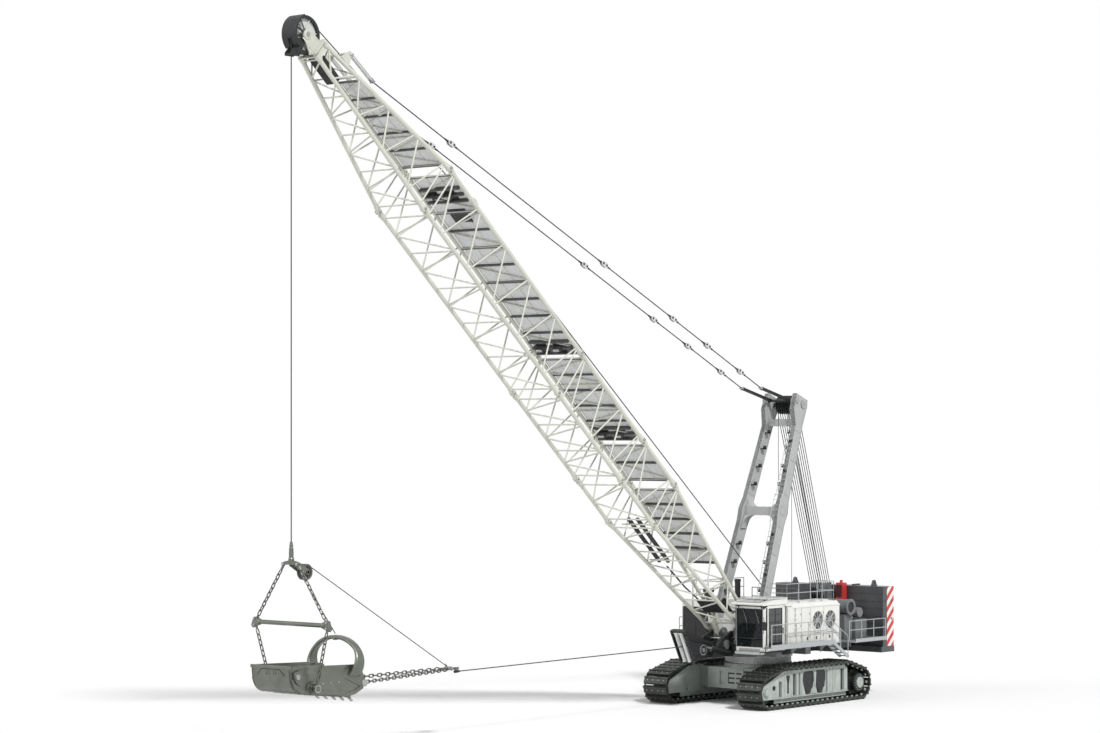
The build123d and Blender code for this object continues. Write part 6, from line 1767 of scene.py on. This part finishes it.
def build_bucket():
    """Bucket body: skin, side walls, pins and ribs."""
    b = Builder()
    outer, inner = bucket_line(0), bucket_line(0.06)
    # Bent skin with shared, smooth faces outside and inside, closed at both edges
    for line, turned in ((outer, False), (inner, True)):
        points = [(x, y, z) for x, z in line for y in (-BUCKET_HALF, BUCKET_HALF)]
        faces = [[2 * k, 2 * k + 1, 2 * k + 3, 2 * k + 2] for k in range(len(line) - 1)]
        b.add(points, [f[::-1] for f in faces] if turned else faces, True)
    half = BUCKET_HALF
    for (ax, az), (bx, bz) in ((outer[0], inner[0]), (outer[-1], inner[-1])):
        b.add([(ax, -half, az), (ax, half, az), (bx, half, bz), (bx, -half, bz)], [[0, 1, 2, 3]])
    cheek = [
        (ARCH_X + ARCH_DEPTH + 0.08, ARCH_Z), (ARCH_X - 0.02, ARCH_Z), (26.5, 2.95), (26.3, 2.72),
        (26.3, 2.54), (26.52, 2.48), (26.85, 2.25),
    ]
    side_wall = outer + cheek
    for side in (1, -1):
        face = side * BUCKET_HALF
        b.plate(side_wall, face, face - side * 0.06)

        def out(depth, f=face, s=side):
            return f, f + s * depth
        # Rim bar along the top of the side, wear strips and heel plates
        lo, hi = out(0.035)
        b.plate([(26.98, 3.25), (30.2, 3.36), (30.2, 3.46), (26.98, 3.36)], lo, hi)
        b.plate([(27.35, 2.21), (29.25, 2.42), (29.25, 2.56), (27.35, 2.36)], lo, hi)
        b.plate([
            (29.3, 2.42), (29.75, 2.46), (30.1, 2.68), (30.24, 2.98), (30.08, 3.02), (29.95, 2.78),
            (29.68, 2.60), (29.3, 2.58)
        ], lo, hi)
        b.plate([
            (26.45, 2.45), (26.85, 2.27), (27.35, 2.22), (27.35, 2.32), (26.92, 2.40), (26.55, 2.56)
        ], lo, hi)
        # Dark cheek plate between the hitch and the arch
        b.plate([
            (26.35, 2.56), (26.55, 2.50), (27.5, 2.9), (27.2, 3.3), (26.62, 3.3), (26.42, 2.85)
        ], *out(0.028))
        for k in range(4):
            b.tube(
                (27.75 + k * 0.42, face, 2.75), (27.75 + k * 0.42, face + side * 0.012, 2.75), 0.03, 10,
                mat=2
            )
        # Trunnion bracket with ribs and its pin
        b.plate([
            (28.72, 2.44), (29.5, 2.50), (29.42, 2.78), (29.22, 2.86), (29.0, 2.86), (28.8, 2.76)
        ], *out(0.06))
        b.turn((TRUNNION.x, face, TRUNNION.z), (0, side, 0), [
            (0.19, 0), (0.17, 0.11), (0.11, 0.11), (0.11, 0.28), (0.10, 0.30)
        ], 36)
        b.disc((TRUNNION.x, face + side * 0.25, TRUNNION.z), (0, side, 0), 0.15, 0.03, 36, 2, inner=0.11)
        # Bulge with a pin boss near the rear corner
        lo, hi = out(0.09)
        b.plate([
            (29.75, 2.92), (29.80, 2.75), (30.0, 2.82), (30.12, 3.0), (30.16, 3.25), (29.85, 3.32)
        ], lo, hi)
        b.turn(
            (29.96, face + side * 0.09, 3.08), (0, side, 0),
            [(0.10, 0), (0.10, 0.03), (0.05, 0.03), (0.05, 0.015)], 28, 2
        )
        # Hitch pin with its boss
        b.tube((HITCH.x, face, HITCH.z), (HITCH.x, side * 0.78, HITCH.z), 0.06, 24, mat=2)
        b.turn((HITCH.x, face, HITCH.z), (0, side, 0), [(0.14, 0), (0.14, 0.05), (0.09, 0.07)], 28, 2)
        b.disc((HITCH.x, side * 0.94, HITCH.z), (0, -side, 0), 0.12, 0.035, 28, inner=0.06)
    # Rear rim flange and plain ribs on the rear wall
    b.box(30.22, 30.32, -1.03, 1.03, 3.36, 3.47)
    b.box(30.16, 30.24, -0.96, 0.96, 3.30, 3.36)
    for (ay, az), (by, bz) in (
        ((-0.70, 3.12), (-0.46, 3.35)), ((0.70, 3.12), (0.46, 3.35)), ((-0.46, 3.34), (0.46, 3.34))
    ):
        b.tube((30.275, ay, az), (30.275, by, bz), 0.022, 8)
    for y in (-0.24, -0.12, 0.12, 0.24):
        b.box(30.25, 30.29, y - 0.02, y + 0.02, 3.14, 3.32)
    for y in (-0.8, -0.4, 0, 0.4, 0.8):
        b.plate([(27.5, 2.17), (29.3, 2.36), (29.3, 2.40), (27.5, 2.21)], y - 0.08, y + 0.08)
    # Lip
    b.plate([(27.28, 2.18), (27.52, 2.21), (27.52, 2.33), (27.28, 2.28)], -0.995, 0.995, 1)
    b.make(
        "bucket_body", "bucket", ["bucket_steel", "dark_steel", "machined_steel"], ["bucket_shell"],
        bevel=0.006
    )


def build_teeth():
    """Teeth: nose on the lip, adapter, point and pin."""
    b = Builder()
    for k in range(5):
        y = (k - 2) * 0.435
        b.prism([
            (27.30, y - 0.10, 2.16), (27.30, y + 0.10, 2.16), (27.30, y + 0.10, 2.31),
            (27.30, y - 0.10, 2.31)
        ], (-0.10, 0, -0.03))
        b.prism([
            (27.20, y - 0.08, 2.15), (27.20, y + 0.08, 2.15), (27.06, y + 0.07, 2.08),
            (27.06, y - 0.07, 2.08)
        ], (0, 0, 0.12))
        outline = [(27.08, 2.07), (27.10, 2.20), (26.95, 2.03), (26.93, 1.965)]
        b.plate(outline, y - 0.06, y + 0.06, 1)
        b.tube((27.16, y - 0.11, 2.22), (27.16, y + 0.11, 2.22), 0.02, 12, mat=2)
    b.make(
        "bucket_teeth_cast", "bucket", ["bucket_steel", "machined_steel", "dark_steel"], ["bucket_teeth"],
        bevel=0.006
    )


def build_arch():
    """Arch: oval band, wider than the walls at mid height, that runs down into the cheeks."""
    b = Builder()
    steps = 48
    rings = []
    for k in range(steps + 1):
        angle = radians(-38 + 256 * k / steps)
        y, z = 1.24 * cos(angle), 3.47 + 0.86 * sin(angle)
        foot = max(0.0, 0.55 - sin(angle)) / 1.17
        thick = 0.075 + 0.02 * foot
        wide = 0.16 + 0.16 * foot
        ny, nz = cos(angle), sin(angle)
        loop = []
        for j in range(12):
            a = 2 * pi * (j + 0.5) / 12
            u = copysign(abs(cos(a)) ** 0.6, cos(a)) * wide
            v = copysign(abs(sin(a)) ** 0.6, sin(a)) * thick
            loop.append((ARCH_X + 0.26 + 0.12 * foot + u, y + ny * v, z + nz * v))
        rings.append(loop)
    points = [p for loop in rings for p in loop]
    faces = []
    for k in range(steps):
        for j in range(12):
            a, c = k * 12, (k + 1) * 12
            faces.append([a + j, c + j, c + (j + 1) % 12, a + (j + 1) % 12])
    b.add(points, faces, True)
    b.plate([(26.80, 4.22), (27.02, 4.22), (26.98, 4.40), (26.86, 4.40)], -0.05, 0.05)
    b.make("bucket_arch_round", "bucket", ["bucket_steel"], ["bucket_arch"])


# Camera, light and floor


# Solved camera, in the photo's pixels
PHOTO_WIDTH, PHOTO_MIDDLE = 1100, 366.5
FOCAL, HORIZON = 2835.8, 432.42


def camera():
    """The photo's view."""
    data = bpy.data.cameras.new("view")
    data.sensor_fit = "HORIZONTAL"
    data.sensor_width = 36
    data.lens = FOCAL / PHOTO_WIDTH * 36
    data.shift_y = (HORIZON - PHOTO_MIDDLE) / PHOTO_WIDTH
    data.clip_start = 1
    data.clip_end = 600
    eye = bpy.data.objects.new("view", data)
    eye.location = (102.97, 74.79, 12.0)
    eye.rotation_euler = (radians(90), 0, radians(90 + 40.191))
    bpy.context.scene.collection.objects.link(eye)
    bpy.context.scene.camera = eye


def sun(name, direction, strength, angle, colour=(1, 1, 1)):
    """One far lamp."""
    data = bpy.data.lights.new(name, "SUN")
    data.energy = strength
    data.angle = radians(angle)
    data.color = colour
    lamp = bpy.data.objects.new(name, data)
    lamp.rotation_euler = (-Vector(direction)).to_track_quat("-Z", "Y").to_euler()
    bpy.context.scene.collection.objects.link(lamp)


def light():
    """Two suns under a white sky."""
    sun("key", (0.45, 0.9, 1.0), 3.0, 8)
    sun("fill", (0.9, -0.5, 0.5), 0.55, 30)
    world = bpy.data.worlds.new("sky")
    bpy.context.scene.world = world
    world.use_nodes = True
    tree, link = world.node_tree, world.node_tree.links.new
    back = tree.nodes["Background"]
    put(back, Color=(1, 1, 1, 1))
    path = new_node(tree, "LightPath")
    seen = new_node(tree, "Math", "MAXIMUM")
    link(path.outputs["Is Camera Ray"], seen.inputs[0])
    both = new_node(tree, "Math", "MAXIMUM")
    link(path.outputs["Is Glossy Ray"], both.inputs[0])
    link(path.outputs["Is Transmission Ray"], both.inputs[1])
    link(both.outputs[0], seen.inputs[1])
    level = new_node(tree, "MapRange", To_Min=0.32, To_Max=1.0)
    link(seen.outputs[0], level.inputs["Value"])
    link(level.outputs["Result"], back.inputs["Strength"])


def floor():
    """White ground."""
    mesh = bpy.data.meshes.new("floor")
    reach = 400
    corners = [(-reach, -reach, 0), (reach, -reach, 0), (reach, reach, 0), (-reach, reach, 0)]
    mesh.from_pydata(corners, [], [[0, 1, 2, 3]])
    ground = bpy.data.objects.new("floor", mesh)
    bpy.context.scene.collection.objects.link(ground)
    material, _, surface = new_material("floor_white")
    put(surface, Base_Color=(0.93, 0.93, 0.93, 1), Roughness=0.9)
    mesh.materials.append(material)


build_boom()
build_feet()
build_boom_walkway()
build_rollers()
build_pins()
build_head_panel()
build_sheave()
build_shield()
build_butt_fittings()
build_pendants()
build_tracks()
build_frames()
build_carbody()
build_handrails()
build_walkways()
build_stair()
build_houses()
build_cab()
build_canopy()
build_door()
build_drum_ropes()
build_deck_machinery()
build_red_unit()
build_counterweight()
build_fairlead()
build_front_structure()
build_mast()
build_mast_cross()
build_mast_brackets()
build_mast_ladder()
build_ropes()
build_chains()
build_tackle()
build_spreader()
build_dump_block()
build_yoke()
build_drag_rope()
build_bucket()
build_teeth()
build_arch()
camera()
light()
floor()
bpy.context.scene.view_settings.view_transform = "Standard"
